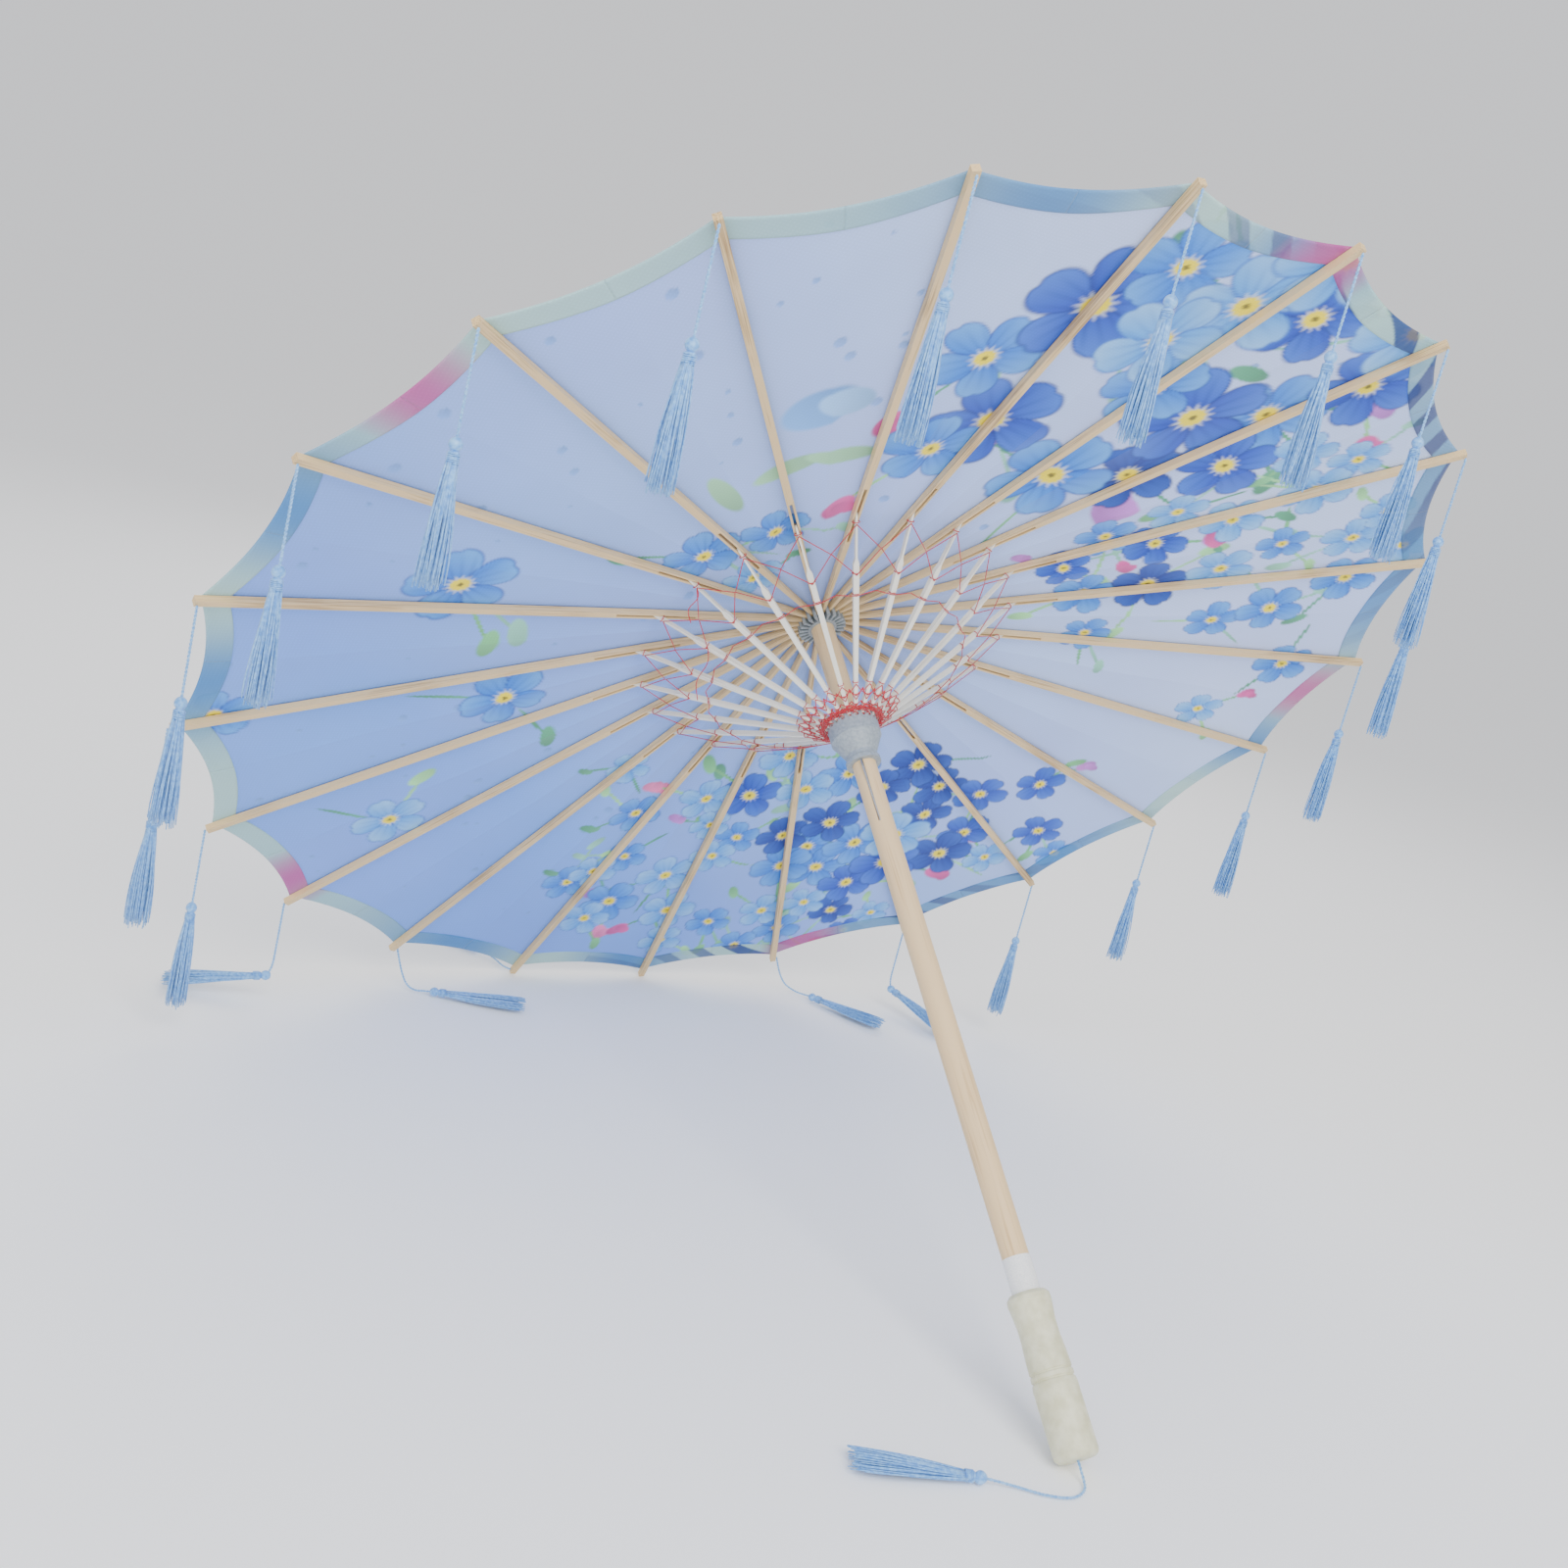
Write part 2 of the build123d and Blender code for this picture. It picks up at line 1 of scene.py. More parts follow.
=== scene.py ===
"""Parasol with a printed cloth canopy, dressed around its CAD frame.

The frame gives every place: the lean of the shaft, the hinge rings and the floor. Lengths in the
classes are in millimetres, in the upright frame of the parasol (z up the shaft, 0 at the rib tips),
and one placement lays them down on the floor in metres.
"""
import json
import logging
import math
from dataclasses import dataclass, field
from enum import Enum

import bpy
import numpy as np
from mathutils import Matrix, Vector


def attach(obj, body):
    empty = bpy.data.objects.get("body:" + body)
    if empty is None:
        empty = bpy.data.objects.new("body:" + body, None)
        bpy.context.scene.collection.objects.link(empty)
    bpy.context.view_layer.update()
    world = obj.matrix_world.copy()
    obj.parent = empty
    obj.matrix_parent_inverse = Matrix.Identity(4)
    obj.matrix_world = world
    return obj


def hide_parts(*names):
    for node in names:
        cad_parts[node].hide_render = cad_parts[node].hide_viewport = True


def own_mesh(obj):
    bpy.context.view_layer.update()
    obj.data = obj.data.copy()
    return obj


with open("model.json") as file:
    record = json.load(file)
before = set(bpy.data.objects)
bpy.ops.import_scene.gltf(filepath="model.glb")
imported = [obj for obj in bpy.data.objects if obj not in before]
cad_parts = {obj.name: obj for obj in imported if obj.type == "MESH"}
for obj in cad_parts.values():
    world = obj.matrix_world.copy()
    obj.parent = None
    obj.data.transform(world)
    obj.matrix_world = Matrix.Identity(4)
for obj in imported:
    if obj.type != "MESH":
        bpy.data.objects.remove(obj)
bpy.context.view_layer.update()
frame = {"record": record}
LOG = logging.getLogger("parasol")
MM = 0.001
RIBS = 22
PITCH = 360.0 / RIBS
HINGE_RADIUS = 12.5
TIP_RADIUS = 420.0


class Tone(Enum):
    """How dark a printed flower is."""

    LIGHT = ("4BA2F2", "96CCFA", "0E5CC8")
    MID = ("1F7CE4", "62AEF6", "0644AE")
    DEEP = ("1447C0", "3D78E0", "0A2A86")
    NAVY = ("0F3AA0", "2A60C8", "081F66")


def linear(code: str) -> tuple[float, float, float, float]:
    """Turns an sRGB hex colour into linear light.

    Args:
        code: six hex digits.

    Returns:
        Linear red, green, blue and an alpha of 1.
    """
    parts = [int(code[i : i + 2], 16) / 255 for i in (0, 2, 4)]
    light = [p / 12.92 if p <= 0.04045 else ((p + 0.055) / 1.055) ** 2.4 for p in parts]
    return (*light, 1.0)


def add_node(tree: bpy.types.NodeTree, kind: str, links: dict | None = None, **settings) -> bpy.types.Node:
    """Adds one node.

    Args:
        tree: the material's node tree.
        kind: the node's type name.
        links: input name or number to an output socket or a value.
        **settings: attributes of the node.

    Returns:
        The new node.
    """
    node = tree.nodes.new(kind)
    for name, value in settings.items():
        setattr(node, name, value)
    for key, value in (links or {}).items():
        if isinstance(value, bpy.types.NodeSocket):
            tree.links.new(value, node.inputs[key])
        else:
            node.inputs[key].default_value = value
    return node


# ------------------------------------------------------------------ the placement
@dataclass
class Placement:
    """Lays the upright parasol down, as the frame's joints say.

    Attributes:
        hinge_z: height of the rib hinges over the plane of the tips.
    """

    hinge_z: float = 58.2
    lean: float = 0.0
    hub: np.ndarray = field(default_factory=lambda: np.zeros(3))

    def __post_init__(self) -> None:
        """Reads the lean of the shaft and the middle of the hinge ring."""
        joints = frame["record"]["behaviour"]["joints"]
        slide = next(j for j in joints if j["name"] == "runner_slide")
        self.lean = math.atan2(slide["axis"][0], -slide["axis"][2])
        rings = [j["pos_m"] for j in joints if j["name"].startswith("rib_")]
        self.hub = np.mean(np.array(rings), axis=0)

    def turn(self, vectors: np.ndarray) -> np.ndarray:
        """Turns upright directions into the row frame.

        Args:
            vectors: one direction or an array of them.

        Returns:
            The turned directions.
        """
        v = np.asarray(vectors, float)
        c, s = math.cos(self.lean), math.sin(self.lean)
        return np.stack([v[..., 0] * c - v[..., 2] * s, v[..., 1], v[..., 0] * s + v[..., 2] * c], -1)

    def laid(self, points: np.ndarray) -> np.ndarray:
        """Moves upright points in millimetres to the floor, in metres.

        Args:
            points: one point or an array of them.

        Returns:
            Their places in the row frame.
        """
        return self.turn(np.asarray(points, float) - (0, 0, self.hinge_z)) * MM + self.hub

    def azimuth(self, number: float) -> float:
        """Azimuth of a rib in radians; ribs 13 and 14 stand either side of -X."""
        return math.radians(180.0 + PITCH * (number - 13.5))


PLACE = Placement()


# ------------------------------------------------------------------ finishes
@dataclass(frozen=True)
class SplitBamboo:
    """Planed bamboo: long straight fibres, darker in places, with a faint satin skin.

    Attributes:
        name: material name.
        light: colour of the pale fibres.
        dark: colour of the darker fibres.
        fibre_mm: width of a fibre, drawn coarser than real so that it shows.
        roughness: of the surface.
    """

    name: str
    light: str
    dark: str
    fibre_mm: float = 0.7
    roughness: float = 0.5

    def material(self, along: tuple[float, float, float]) -> bpy.types.Material:
        """Builds the material for a slat that runs along a direction.

        Args:
            along: direction of the fibres in the row frame.

        Returns:
            The material.
        """
        mat = bpy.data.materials.new(self.name)
        mat.use_nodes = True
        tree = mat.node_tree
        shader = tree.nodes["Principled BSDF"]
        coords = add_node(tree, "ShaderNodeTexCoord")
        axis = Vector(along).normalized()
        turn = axis.to_track_quat("Z", "Y").inverted().to_euler()
        spin = add_node(
            tree,
            "ShaderNodeMapping",
            {"Vector": coords.outputs["Object"], "Rotation": turn},
            vector_type="POINT",
        )
        squeeze = add_node(
            tree, "ShaderNodeMapping", {"Vector": spin.outputs[0], "Scale": (1, 1, 0.02)}, vector_type="POINT"
        )
        fibres = add_node(
            tree,
            "ShaderNodeTexNoise",
            {"Vector": squeeze.outputs[0], "Scale": 1 / (self.fibre_mm * MM), "Detail": 4.0},
        )
        patches = add_node(
            tree, "ShaderNodeTexNoise", {"Vector": coords.outputs["Object"], "Scale": 14.0, "Detail": 2.0}
        )
        both = add_node(
            tree, "ShaderNodeMath", {0: fibres.outputs[0], 1: patches.outputs[0]}, operation="ADD"
        )
        ramp = add_node(tree, "ShaderNodeValToRGB", {"Fac": both.outputs[0]})
        ramp.color_ramp.elements[0].position = 0.62
        ramp.color_ramp.elements[0].color = linear(self.dark)
        ramp.color_ramp.elements[1].position = 1.15 / 1.2
        ramp.color_ramp.elements[1].color = linear(self.light)
        tree.links.new(ramp.outputs[0], shader.inputs["Base Color"])
        bump = add_node(
            tree, "ShaderNodeBump", {"Height": fibres.outputs[0], "Strength": 0.25, "Distance": 0.00015}
        )
        tree.links.new(bump.outputs[0], shader.inputs["Normal"])
        shader.inputs["Roughness"].default_value = self.roughness
        shader.inputs["IOR"].default_value = 1.5
        return mat


@dataclass(frozen=True)
class PlainFinish:
    """A moulded, drawn, spun or papered finish with a fine mottle and bump.

    Attributes:
        name: material name.
        colour: main colour.
        second: colour of the mottle.
        grain_mm: size of the mottle.
        roughness: of the surface.
        metallic: 1 for a metal.
        bump_mm: height of the bump.
        sheen: soft edge light of fibres.
    """

    name: str
    colour: str
    second: str
    grain_mm: float = 1.0
    roughness: float = 0.5
    metallic: float = 0.0
    bump_mm: float = 0.05
    sheen: float = 0.0

    def material(self) -> bpy.types.Material:
        """Builds the material."""
        mat = bpy.data.materials.new(self.name)
        mat.use_nodes = True
        tree = mat.node_tree
        shader = tree.nodes["Principled BSDF"]
        coords = add_node(tree, "ShaderNodeTexCoord")
        noise = add_node(
            tree,
            "ShaderNodeTexNoise",
            {"Vector": coords.outputs["Object"], "Scale": 1 / (self.grain_mm * MM), "Detail": 5.0},
        )
        ramp = add_node(tree, "ShaderNodeValToRGB", {"Fac": noise.outputs[0]})
        ramp.color_ramp.elements[0].position = 0.35
        ramp.color_ramp.elements[0].color = linear(self.second)
        ramp.color_ramp.elements[1].position = 0.65
        ramp.color_ramp.elements[1].color = linear(self.colour)
        tree.links.new(ramp.outputs[0], shader.inputs["Base Color"])
        bump = add_node(
            tree,
            "ShaderNodeBump",
            {"Height": noise.outputs[0], "Strength": 0.4, "Distance": self.bump_mm * MM},
        )
        tree.links.new(bump.outputs[0], shader.inputs["Normal"])
        shader.inputs["Roughness"].default_value = self.roughness
        shader.inputs["Metallic"].default_value = self.metallic
        shader.inputs["Sheen Weight"].default_value = self.sheen
        return mat


@dataclass(frozen=True)
class PrintedCloth:
    """Thin plain-weave cloth; the print is in the mesh's colour attribute.

    Attributes:
        name: material name.
        thread_mm: spacing of the weave, drawn coarser than real so that it shows.
    """

    name: str = "printed_cotton"
    thread_mm: float = 1.1

    def material(self) -> bpy.types.Material:
        """Builds the material: print, faint weave and a soft sheen."""
        mat = bpy.data.materials.new(self.name)
        mat.use_nodes = True
        tree = mat.node_tree
        shader = tree.nodes["Principled BSDF"]
        paint = add_node(tree, "ShaderNodeAttribute", attribute_name="print")
        lay = add_node(tree, "ShaderNodeUVMap", uv_map="cloth")
        size = 1 / (self.thread_mm * MM)
        warp = add_node(
            tree,
            "ShaderNodeTexWave",
            {"Vector": lay.outputs[0], "Scale": size / 6.3, "Distortion": 0.4, "Detail": 1.0},
            bands_direction="X",
        )
        weft = add_node(
            tree,
            "ShaderNodeTexWave",
            {"Vector": lay.outputs[0], "Scale": size / 6.3, "Distortion": 0.4, "Detail": 1.0},
            bands_direction="Y",
        )
        crossed = {0: warp.outputs["Fac"], 1: weft.outputs["Fac"]}
        weave = add_node(tree, "ShaderNodeMath", crossed, operation="MULTIPLY")
        cloudy = add_node(tree, "ShaderNodeTexNoise", {"Vector": lay.outputs[0], "Scale": 9.0, "Detail": 3.0})
        shade = add_node(
            tree,
            "ShaderNodeMapRange",
            {"Value": weave.outputs[0], "From Max": 1.0, "To Min": 0.95, "To Max": 1.02},
        )
        cloud = add_node(
            tree,
            "ShaderNodeMapRange",
            {"Value": cloudy.outputs[0], "From Min": 0.3, "From Max": 0.7, "To Min": 0.95, "To Max": 1.03},
        )
        shaded = {0: shade.outputs[0], 1: cloud.outputs[0]}
        both = add_node(tree, "ShaderNodeMath", shaded, operation="MULTIPLY")
        tint = add_node(
            tree,
            "ShaderNodeVectorMath",
            {0: paint.outputs["Color"], "Scale": both.outputs[0]},
            operation="SCALE",
        )
        tree.links.new(tint.outputs[0], shader.inputs["Base Color"])
        relief = {"Height": weave.outputs[0], "Strength": 0.15, "Distance": 0.0001}
        bump = add_node(tree, "ShaderNodeBump", relief)
        tree.links.new(bump.outputs[0], shader.inputs["Normal"])
        shader.inputs["Roughness"].default_value = 0.82
        shader.inputs["Sheen Weight"].default_value = 0.15
        return mat


FLOSS = PlainFinish("rayon_floss", "8AC2F4", "5295DC", 2.2, 0.38, 0.0, 0.05, 0.3)
FLOSS_CORD = PlainFinish("twisted_floss_cord", "96C8F2", "5A9AD8", 1.2, 0.45, 0.0, 0.1, 0.3)
COTTON = PlainFinish("red_cotton_thread", "D0142A", "A00A1C", 0.8, 0.7, 0.0, 0.08, 0.3)
NYLON = PlainFinish("moulded_grey_nylon", "9AA3A8", "868F95", 2.0, 0.42, 0.0, 0.02)
STEEL = PlainFinish("drawn_steel_wire", "B8B8B8", "9A9A9A", 0.6, 0.3, 1.0, 0.01)
PAPER = PlainFinish("white_paper_band", "F2F2F0", "E2E3E4", 0.9, 0.7, 0.0, 0.02)
TURNED = PlainFinish("turned_waxed_wood", "DEDCBE", "CCC9A4", 7.0, 0.42, 0.0, 0.03)
RIB_BAMBOO = SplitBamboo("planed_bamboo", "DCBE8C", "94703F")
STRIP_BAMBOO = SplitBamboo("bleached_bamboo", "E4E0D4", "ABA496", 0.6, 0.45)
SHAFT_BAMBOO = SplitBamboo("sanded_light_wood", "E4C492", "BC935C", 1.2, 0.48)


# ------------------------------------------------------------------ the print
@dataclass(frozen=True)
class Bloom:
    """One printed flower: its middle, its radius, its turn and its tone."""

    x: float
    y: float
    radius: float
    turn: float
    tone: Tone


@dataclass(frozen=True)
class Bed:
    """An oval patch of the cloth that is filled with flowers.

    Attributes:
        middle: x and y of the patch.
        reach: half widths of the patch in x and y.
        count: how many flowers are tried.
        small: smallest flower radius.
        large: largest flower radius.
        dark: share of deep-toned flowers.
        spacing: least distance between middles, as a share of the two radii.
    """

    middle: tuple[float, float]
    reach: tuple[float, float]
    count: int
    small: float
    large: float
    dark: float
    spacing: float = 0.72


@dataclass
class FloralPrint:
    """A generic print of five-petal blue flowers on a lavender ground."""

    seed: int = 7
    rim: float = 416.5
    blooms: list[Bloom] = field(default_factory=list)

    def plant(self) -> None:
        """Places the flowers: full beds on two sides, single ones elsewhere."""
        rng = np.random.default_rng(self.seed)
        beds = [
            Bed((300, 60), (115, 135), 110, 34, 47, 0.42, 0.54),
            Bed((200, 235), (100, 90), 60, 19, 29, 0.12),
            Bed((150, 130), (60, 60), 16, 18, 24, 0.1),
            Bed((-190, 165), (85, 90), 90, 24, 34, 0.72, 0.54),
            Bed((-255, 110), (130, 160), 90, 18, 28, 0.15, 0.66),
            Bed((-180, 260), (80, 100), 30, 18, 24, 0.1),
        ]
        singles = [
            (20, -275, 36, Tone.MID),
            (-90, -200, 31, Tone.MID),
            (-110, -380, 26, Tone.MID),
            (-225, -230, 28, Tone.LIGHT),
            (60, -130, 27, Tone.MID),
            (90, -95, 24, Tone.MID),
            (40, -80, 22, Tone.LIGHT),
            (190, -50, 34, Tone.MID),
            (270, -75, 36, Tone.MID),
            (-215, -40, 22, Tone.MID),
            (-165, -70, 18, Tone.LIGHT),
            (60, 185, 20, Tone.MID),
            (20, 330, 20, Tone.LIGHT),
            (90, 350, 24, Tone.MID),
            (-300, -60, 22, Tone.MID),
            (-345, -25, 22, Tone.LIGHT),
        ]
        for bed in beds:
            for _ in range(bed.count):
                angle, share = rng.uniform(0, 2 * math.pi), math.sqrt(rng.uniform(0, 1))
                x = bed.middle[0] + bed.reach[0] * share * math.cos(angle)
                y = bed.middle[1] + bed.reach[1] * share * math.sin(angle)
                radius = rng.uniform(bed.small, bed.large)
                dark = rng.uniform() < bed.dark
                tones = [Tone.DEEP, Tone.DEEP, Tone.NAVY] if dark else [Tone.LIGHT, Tone.MID]
                tone = rng.choice(tones)
                turn = rng.uniform(0, 2 * math.pi)
                if math.hypot(x, y) > self.rim + 15:
                    continue
                if all(math.hypot(x - b.x, y - b.y) > bed.spacing * (radius + b.radius) for b in self.blooms):
                    self.blooms.append(Bloom(x, y, radius, turn, tone))
        self.blooms += [Bloom(x, y, r, rng.uniform(0, 6), tone) for x, y, r, tone in singles]
        order = rng.permutation(len(self.blooms))
        self.blooms = sorted((self.blooms[i] for i in order), key=lambda b: b.tone is Tone.LIGHT)

    def ground(self, x: np.ndarray, y: np.ndarray) -> np.ndarray:
        """Colours the bare cloth: lavender blue, paler on the upper side."""
        pale = np.array(linear("C2D6FF")[:3])
        blue = np.array(linear("6FA2F6")[:3])
        violet = np.array(linear("8C8EF0")[:3])
        share = np.clip(0.5 + (0.75 * x + 0.62 * y) / 480, 0, 1)[:, None]
        wash = (0.5 + 0.5 * np.sin(x / 61 + 1.3 * np.sin(y / 83)) * np.cos(y / 57 + x / 140))[:, None]
        colour = blue * (1 - share) + pale * share
        return colour * (1 - 0.16 * wash) + violet * 0.16 * wash

    def spot(self, colour, x, y, cx, cy, long, wide, turn, code, strength=1.0) -> None:
        """Paints one soft oval, used for dots, buds, leaves and stems."""
        near = np.nonzero((abs(x - cx) < long + wide) & (abs(y - cy) < long + wide))[0]
        if not len(near):
            return
        dx, dy = x[near] - cx, y[near] - cy
        u = dx * math.cos(turn) + dy * math.sin(turn)
        v = -dx * math.sin(turn) + dy * math.cos(turn)
        edge = np.hypot(u / long, v / wide)
        cover = (np.clip((1.0 - edge) * 6, 0, 1) * strength)[:, None]
        tint = np.array(linear(code)[:3]) * (1.0 - 0.25 * np.clip(u / long, -1, 1))[:, None]
        colour[near] = colour[near] * (1 - cover) + tint * cover

    def sprigs(self, colour: np.ndarray, x: np.ndarray, y: np.ndarray) -> None:
        """Paints dots, stems, leaves and pink buds under the flowers."""
        rng = np.random.default_rng(self.seed + 1)
        for _ in range(95):
            r, a = 60 + 340 * math.sqrt(rng.uniform()), rng.uniform(math.radians(-175), math.radians(25))
            size = rng.uniform(1.3, 4.6)
            self.spot(colour, x, y, r * math.cos(a), r * math.sin(a), size, size * 0.85, 0, "6F9CE4", 0.75)
        for bloom in self.blooms:
            for _ in range(2):
                turn = rng.uniform(0, 2 * math.pi)
                reach = bloom.radius * rng.uniform(1.0, 1.5)
                cx, cy = bloom.x + reach * math.cos(turn), bloom.y + reach * math.sin(turn)
                code = rng.choice(["6DBB80", "93D695", "4F9C78", "86C6B0"])
                self.spot(colour, x, y, cx, cy, bloom.radius * 0.8, 1.4, turn, code)
                ex, ey = cx + reach * 0.5 * math.cos(turn), cy + reach * 0.5 * math.sin(turn)
                if rng.uniform() < 0.45:
                    self.spot(colour, x, y, ex, ey, bloom.radius * 0.42, bloom.radius * 0.2, turn + 0.5, code)
                elif rng.uniform() < 0.4:
                    pink = rng.choice(["E878B0", "D0509A", "BC72D0"])
                    self.spot(colour, x, y, ex, ey, bloom.radius * 0.4, bloom.radius * 0.26, turn, pink)
                    long, wide = bloom.radius * 0.3, bloom.radius * 0.2
                    self.spot(colour, x, y, ex, ey + 5, long, wide, turn + 1.1, pink)
        for cx, cy, turn in ((150, -125, 0.6), (120, -150, 2.2), (170, -100, 1.2)):
            self.spot(colour, x, y, cx, cy, 24, 8, turn, "8FC49C")
        self.spot(colour, x, y, 205, -140, 26, 17, 0.4, "6CA5EA")
        self.spot(colour, x, y, 215, -128, 18, 13, 1.2, "8DBDF2")

    def flower(self, colour: np.ndarray, x: np.ndarray, y: np.ndarray, bloom: Bloom) -> None:
        """Paints one flower: five rounded petals, streaks, a pale star and a yellow eye.

        Args:
            colour: linear colours, changed in place.
            x: flat x of each point.
            y: flat y of each point.
            bloom: the flower.
        """
        size = bloom.radius
        near = np.nonzero((abs(x - bloom.x) < size * 1.1) & (abs(y - bloom.y) < size * 1.1))[0]
        if not len(near):
            return
        dx, dy = (x[near] - bloom.x) / size, (y[near] - bloom.y) / size
        main, bright, dark = (np.array(linear(code)[:3]) for code in bloom.tone.value)
        paint = colour[near]
        for petal in range(5):
            turn = bloom.turn + petal * 2 * math.pi / 5
            u = dx * math.cos(turn) + dy * math.sin(turn)
            v = -dx * math.sin(turn) + dy * math.cos(turn)
            wide = 0.42 + 0.03 * math.sin(petal * 2.3 + bloom.turn)
            edge = np.hypot((u - 0.55) / 0.45, v / (wide * (0.62 + 0.5 * np.clip(u, 0, 1))))
            edge = edge + 0.10 * np.exp(-((v / 0.07) ** 2)) * (u > 0.8)
            cover = np.clip((1.0 - edge) * 9, 0, 1)[:, None]
            streak = np.clip(np.sin(np.arctan2(v, u + 0.25) * 26 + petal), 0, 1) * np.clip(0.9 - u, 0, 1)
            lit = np.clip(0.15 + 0.9 * (u - 0.35) + 0.35 * v / wide, 0, 1)
            body = main * (1 - lit[:, None]) + bright * lit[:, None]
            throat = 1.1 * np.clip(0.38 - u, 0, 1)
            outline = 4.2 * np.clip(edge - 0.82, 0, 1) * 2
            shade = np.clip(0.55 * streak + throat + outline, 0, 0.92)
            body = body * (1 - shade[:, None]) + dark * shade[:, None]
            paint = paint * (1 - cover) + body * cover
        d = np.hypot(dx, dy)
        angle = np.arctan2(dy, dx) - bloom.turn
        star = np.clip((0.26 + 0.05 * np.cos(angle * 13) - d) * 14, 0, 1)[:, None] * 0.45
        paint = paint * (1 - star) + np.array(linear("EAF4FC")[:3]) * star
        eye = np.clip((0.19 + 0.012 * np.cos(angle * 11) - d) * 30, 0, 1)[:, None]
        paint = paint * (1 - eye) + np.array(linear("F8E01E")[:3]) * eye
        pip = np.clip((0.06 - d) * 60, 0, 1)[:, None] * 0.85
        paint = paint * (1 - pip) + np.array(linear("3A3A20")[:3]) * pip
        colour[near] = paint

    def border(self, colour: np.ndarray, x: np.ndarray, y: np.ndarray) -> np.ndarray:
        """Colours the folded hem: teal and blue, navy and pink in patches."""
        a = np.arctan2(y, x)
        teal, green, navy, pink = (np.array(linear(c)[:3]) for c in ("2E7CB8", "A9CDC0", "12306E", "B83A80"))
        mix = (0.5 + 0.5 * np.sin(a * 9 + 2 * np.sin(a * 4)))[:, None]
        base = teal * mix + green * (1 - mix)
        right = 1.6 * np.exp(-(((a - 0.45) / 0.5) ** 2))
        left = 1.2 * np.exp(-(((a - 2.6) / 0.45) ** 2))
        dark = np.clip(right + left, 0, 1)
        patch = np.clip(np.sin(a * 47 + 3 * np.sin(a * 11) + np.hypot(x, y) / 5) * 5, 0, 1) * dark
        base = base * (1 - patch[:, None]) + navy * patch[:, None]
        rosy = np.clip(np.sin(a * 5 + 0.9) * 9 - 8, 0, 1)[:, None]
        return (base * (1 - rosy) + pink * rosy) * 0.88 + colour * 0.12

    def paint(self, x: np.ndarray, y: np.ndarray, hem: bool) -> np.ndarray:
        """Gives the linear colour of each point of the cloth.

        Args:
            x: flat x of each point.
            y: flat y of each point.
            hem: whether the points lie on the folded border.

        Returns:
            An array of linear colours.
        """
        colour = self.ground(x, y)
        self.sprigs(colour, x, y)
        for bloom in self.blooms:
            self.flower(colour, x, y, bloom)
        return self.border(colour, x, y) if hem else colour


# ------------------------------------------------------------------ mesh helpers
def mesh_piece(name: str, points: np.ndarray, faces: list, material: bpy.types.Material) -> bpy.types.Object:
    """Makes one piece from points in the row frame.

    Args:
        name: the piece's name.
        points: its vertices in metres.
        faces: lists of vertex numbers.
        material: its finish.

    Returns:
        The new object, at the origin.
    """
    mesh = bpy.data.meshes.new(name)
    mesh.from_pydata(np.asarray(points).tolist(), [], [list(map(int, f)) for f in faces])
    mesh.update()
    mesh.materials.append(material)
    mesh.polygons.foreach_set("use_smooth", [True] * len(mesh.polygons))
    piece = bpy.data.objects.new(name, mesh)
    bpy.context.scene.collection.objects.link(piece)
    return piece


def nurbs_path(route: np.ndarray, steps: int = 12) -> np.ndarray:
    """Reads the points of the smooth NURBS line that a route controls.

    Args:
        route: control points in metres.
        steps: points for each control point.

    Returns:
        Points along the line.
    """
    curve = bpy.data.curves.new("route", "CURVE")
    curve.dimensions = "3D"
    spline = curve.splines.new("NURBS")
    spline.points.add(len(route) - 1)
    for point, place in zip(spline.points, route):
        point.co = (*place, 1.0)
    spline.order_u = 3
    spline.use_endpoint_u = True
    spline.resolution_u = steps
    holder = bpy.data.objects.new("route", curve)
    bpy.context.scene.collection.objects.link(holder)
    line = bpy.data.meshes.new_from_object(holder)
    points = np.array([v.co[:] for v in line.vertices])
    bpy.data.objects.remove(holder)
    bpy.data.curves.remove(curve)
    bpy.data.meshes.remove(line)
    return points


def frames_along(path: np.ndarray) -> tuple[np.ndarray, np.ndarray, np.ndarray]:
    """Gives the tangent and two sideways directions at each point of a path."""
    tangent = np.gradient(path, axis=0)
    tangent /= np.linalg.norm(tangent, axis=1)[:, None]
    side = np.cross(tangent[0], (0.3, 0.9, 0.31))
    sides = []
    for t in tangent:
        side = side - t * np.dot(side, t)
        side = side / np.linalg.norm(side)
        sides.append(side)
    sides = np.array(sides)
    return tangent, sides, np.cross(tangent, sides)


def tube(path: np.ndarray, radius: np.ndarray | float, edges: int, first: int) -> tuple[np.ndarray, list]:
    """Makes a closed round tube along a path.

    Args:
        path: its centreline.
        radius: one radius or one for each point.
        edges: corners of its section.
        first: number of its first vertex.

    Returns:
        The vertices and the faces.
    """
    _, side, other = frames_along(path)
    turn = np.arange(edges) * 2 * math.pi / edges
    radius = np.broadcast_to(radius, (len(path),))[:, None, None]
    ring = side[:, None] * np.cos(turn)[None, :, None] + other[:, None] * np.sin(turn)[None, :, None]
    points = (path[:, None] + ring * radius).reshape(-1, 3)
    faces = []
    for i in range(len(path) - 1):
        for j in range(edges):
            a, b = first + i * edges + j, first + i * edges + (j + 1) % edges
            faces.append((a, b, b + edges, a + edges))
    last = first + (len(path) - 1) * edges
    faces.append(tuple(first + j for j in reversed(range(edges))))
    faces.append(tuple(last + j for j in range(edges)))
    return points, faces


def tubes_piece(name: str, runs: list, edges: int, material: bpy.types.Material) -> bpy.types.Object:
    """Joins many (path, radius) tubes into one piece."""
    points, faces, count = [], [], 0
    for path, radius in runs:
        p, f = tube(np.asarray(path), radius, edges, count)
        points.append(p)
        faces += f
        count += len(p)
    return mesh_piece(name, np.concatenate(points), faces, material)


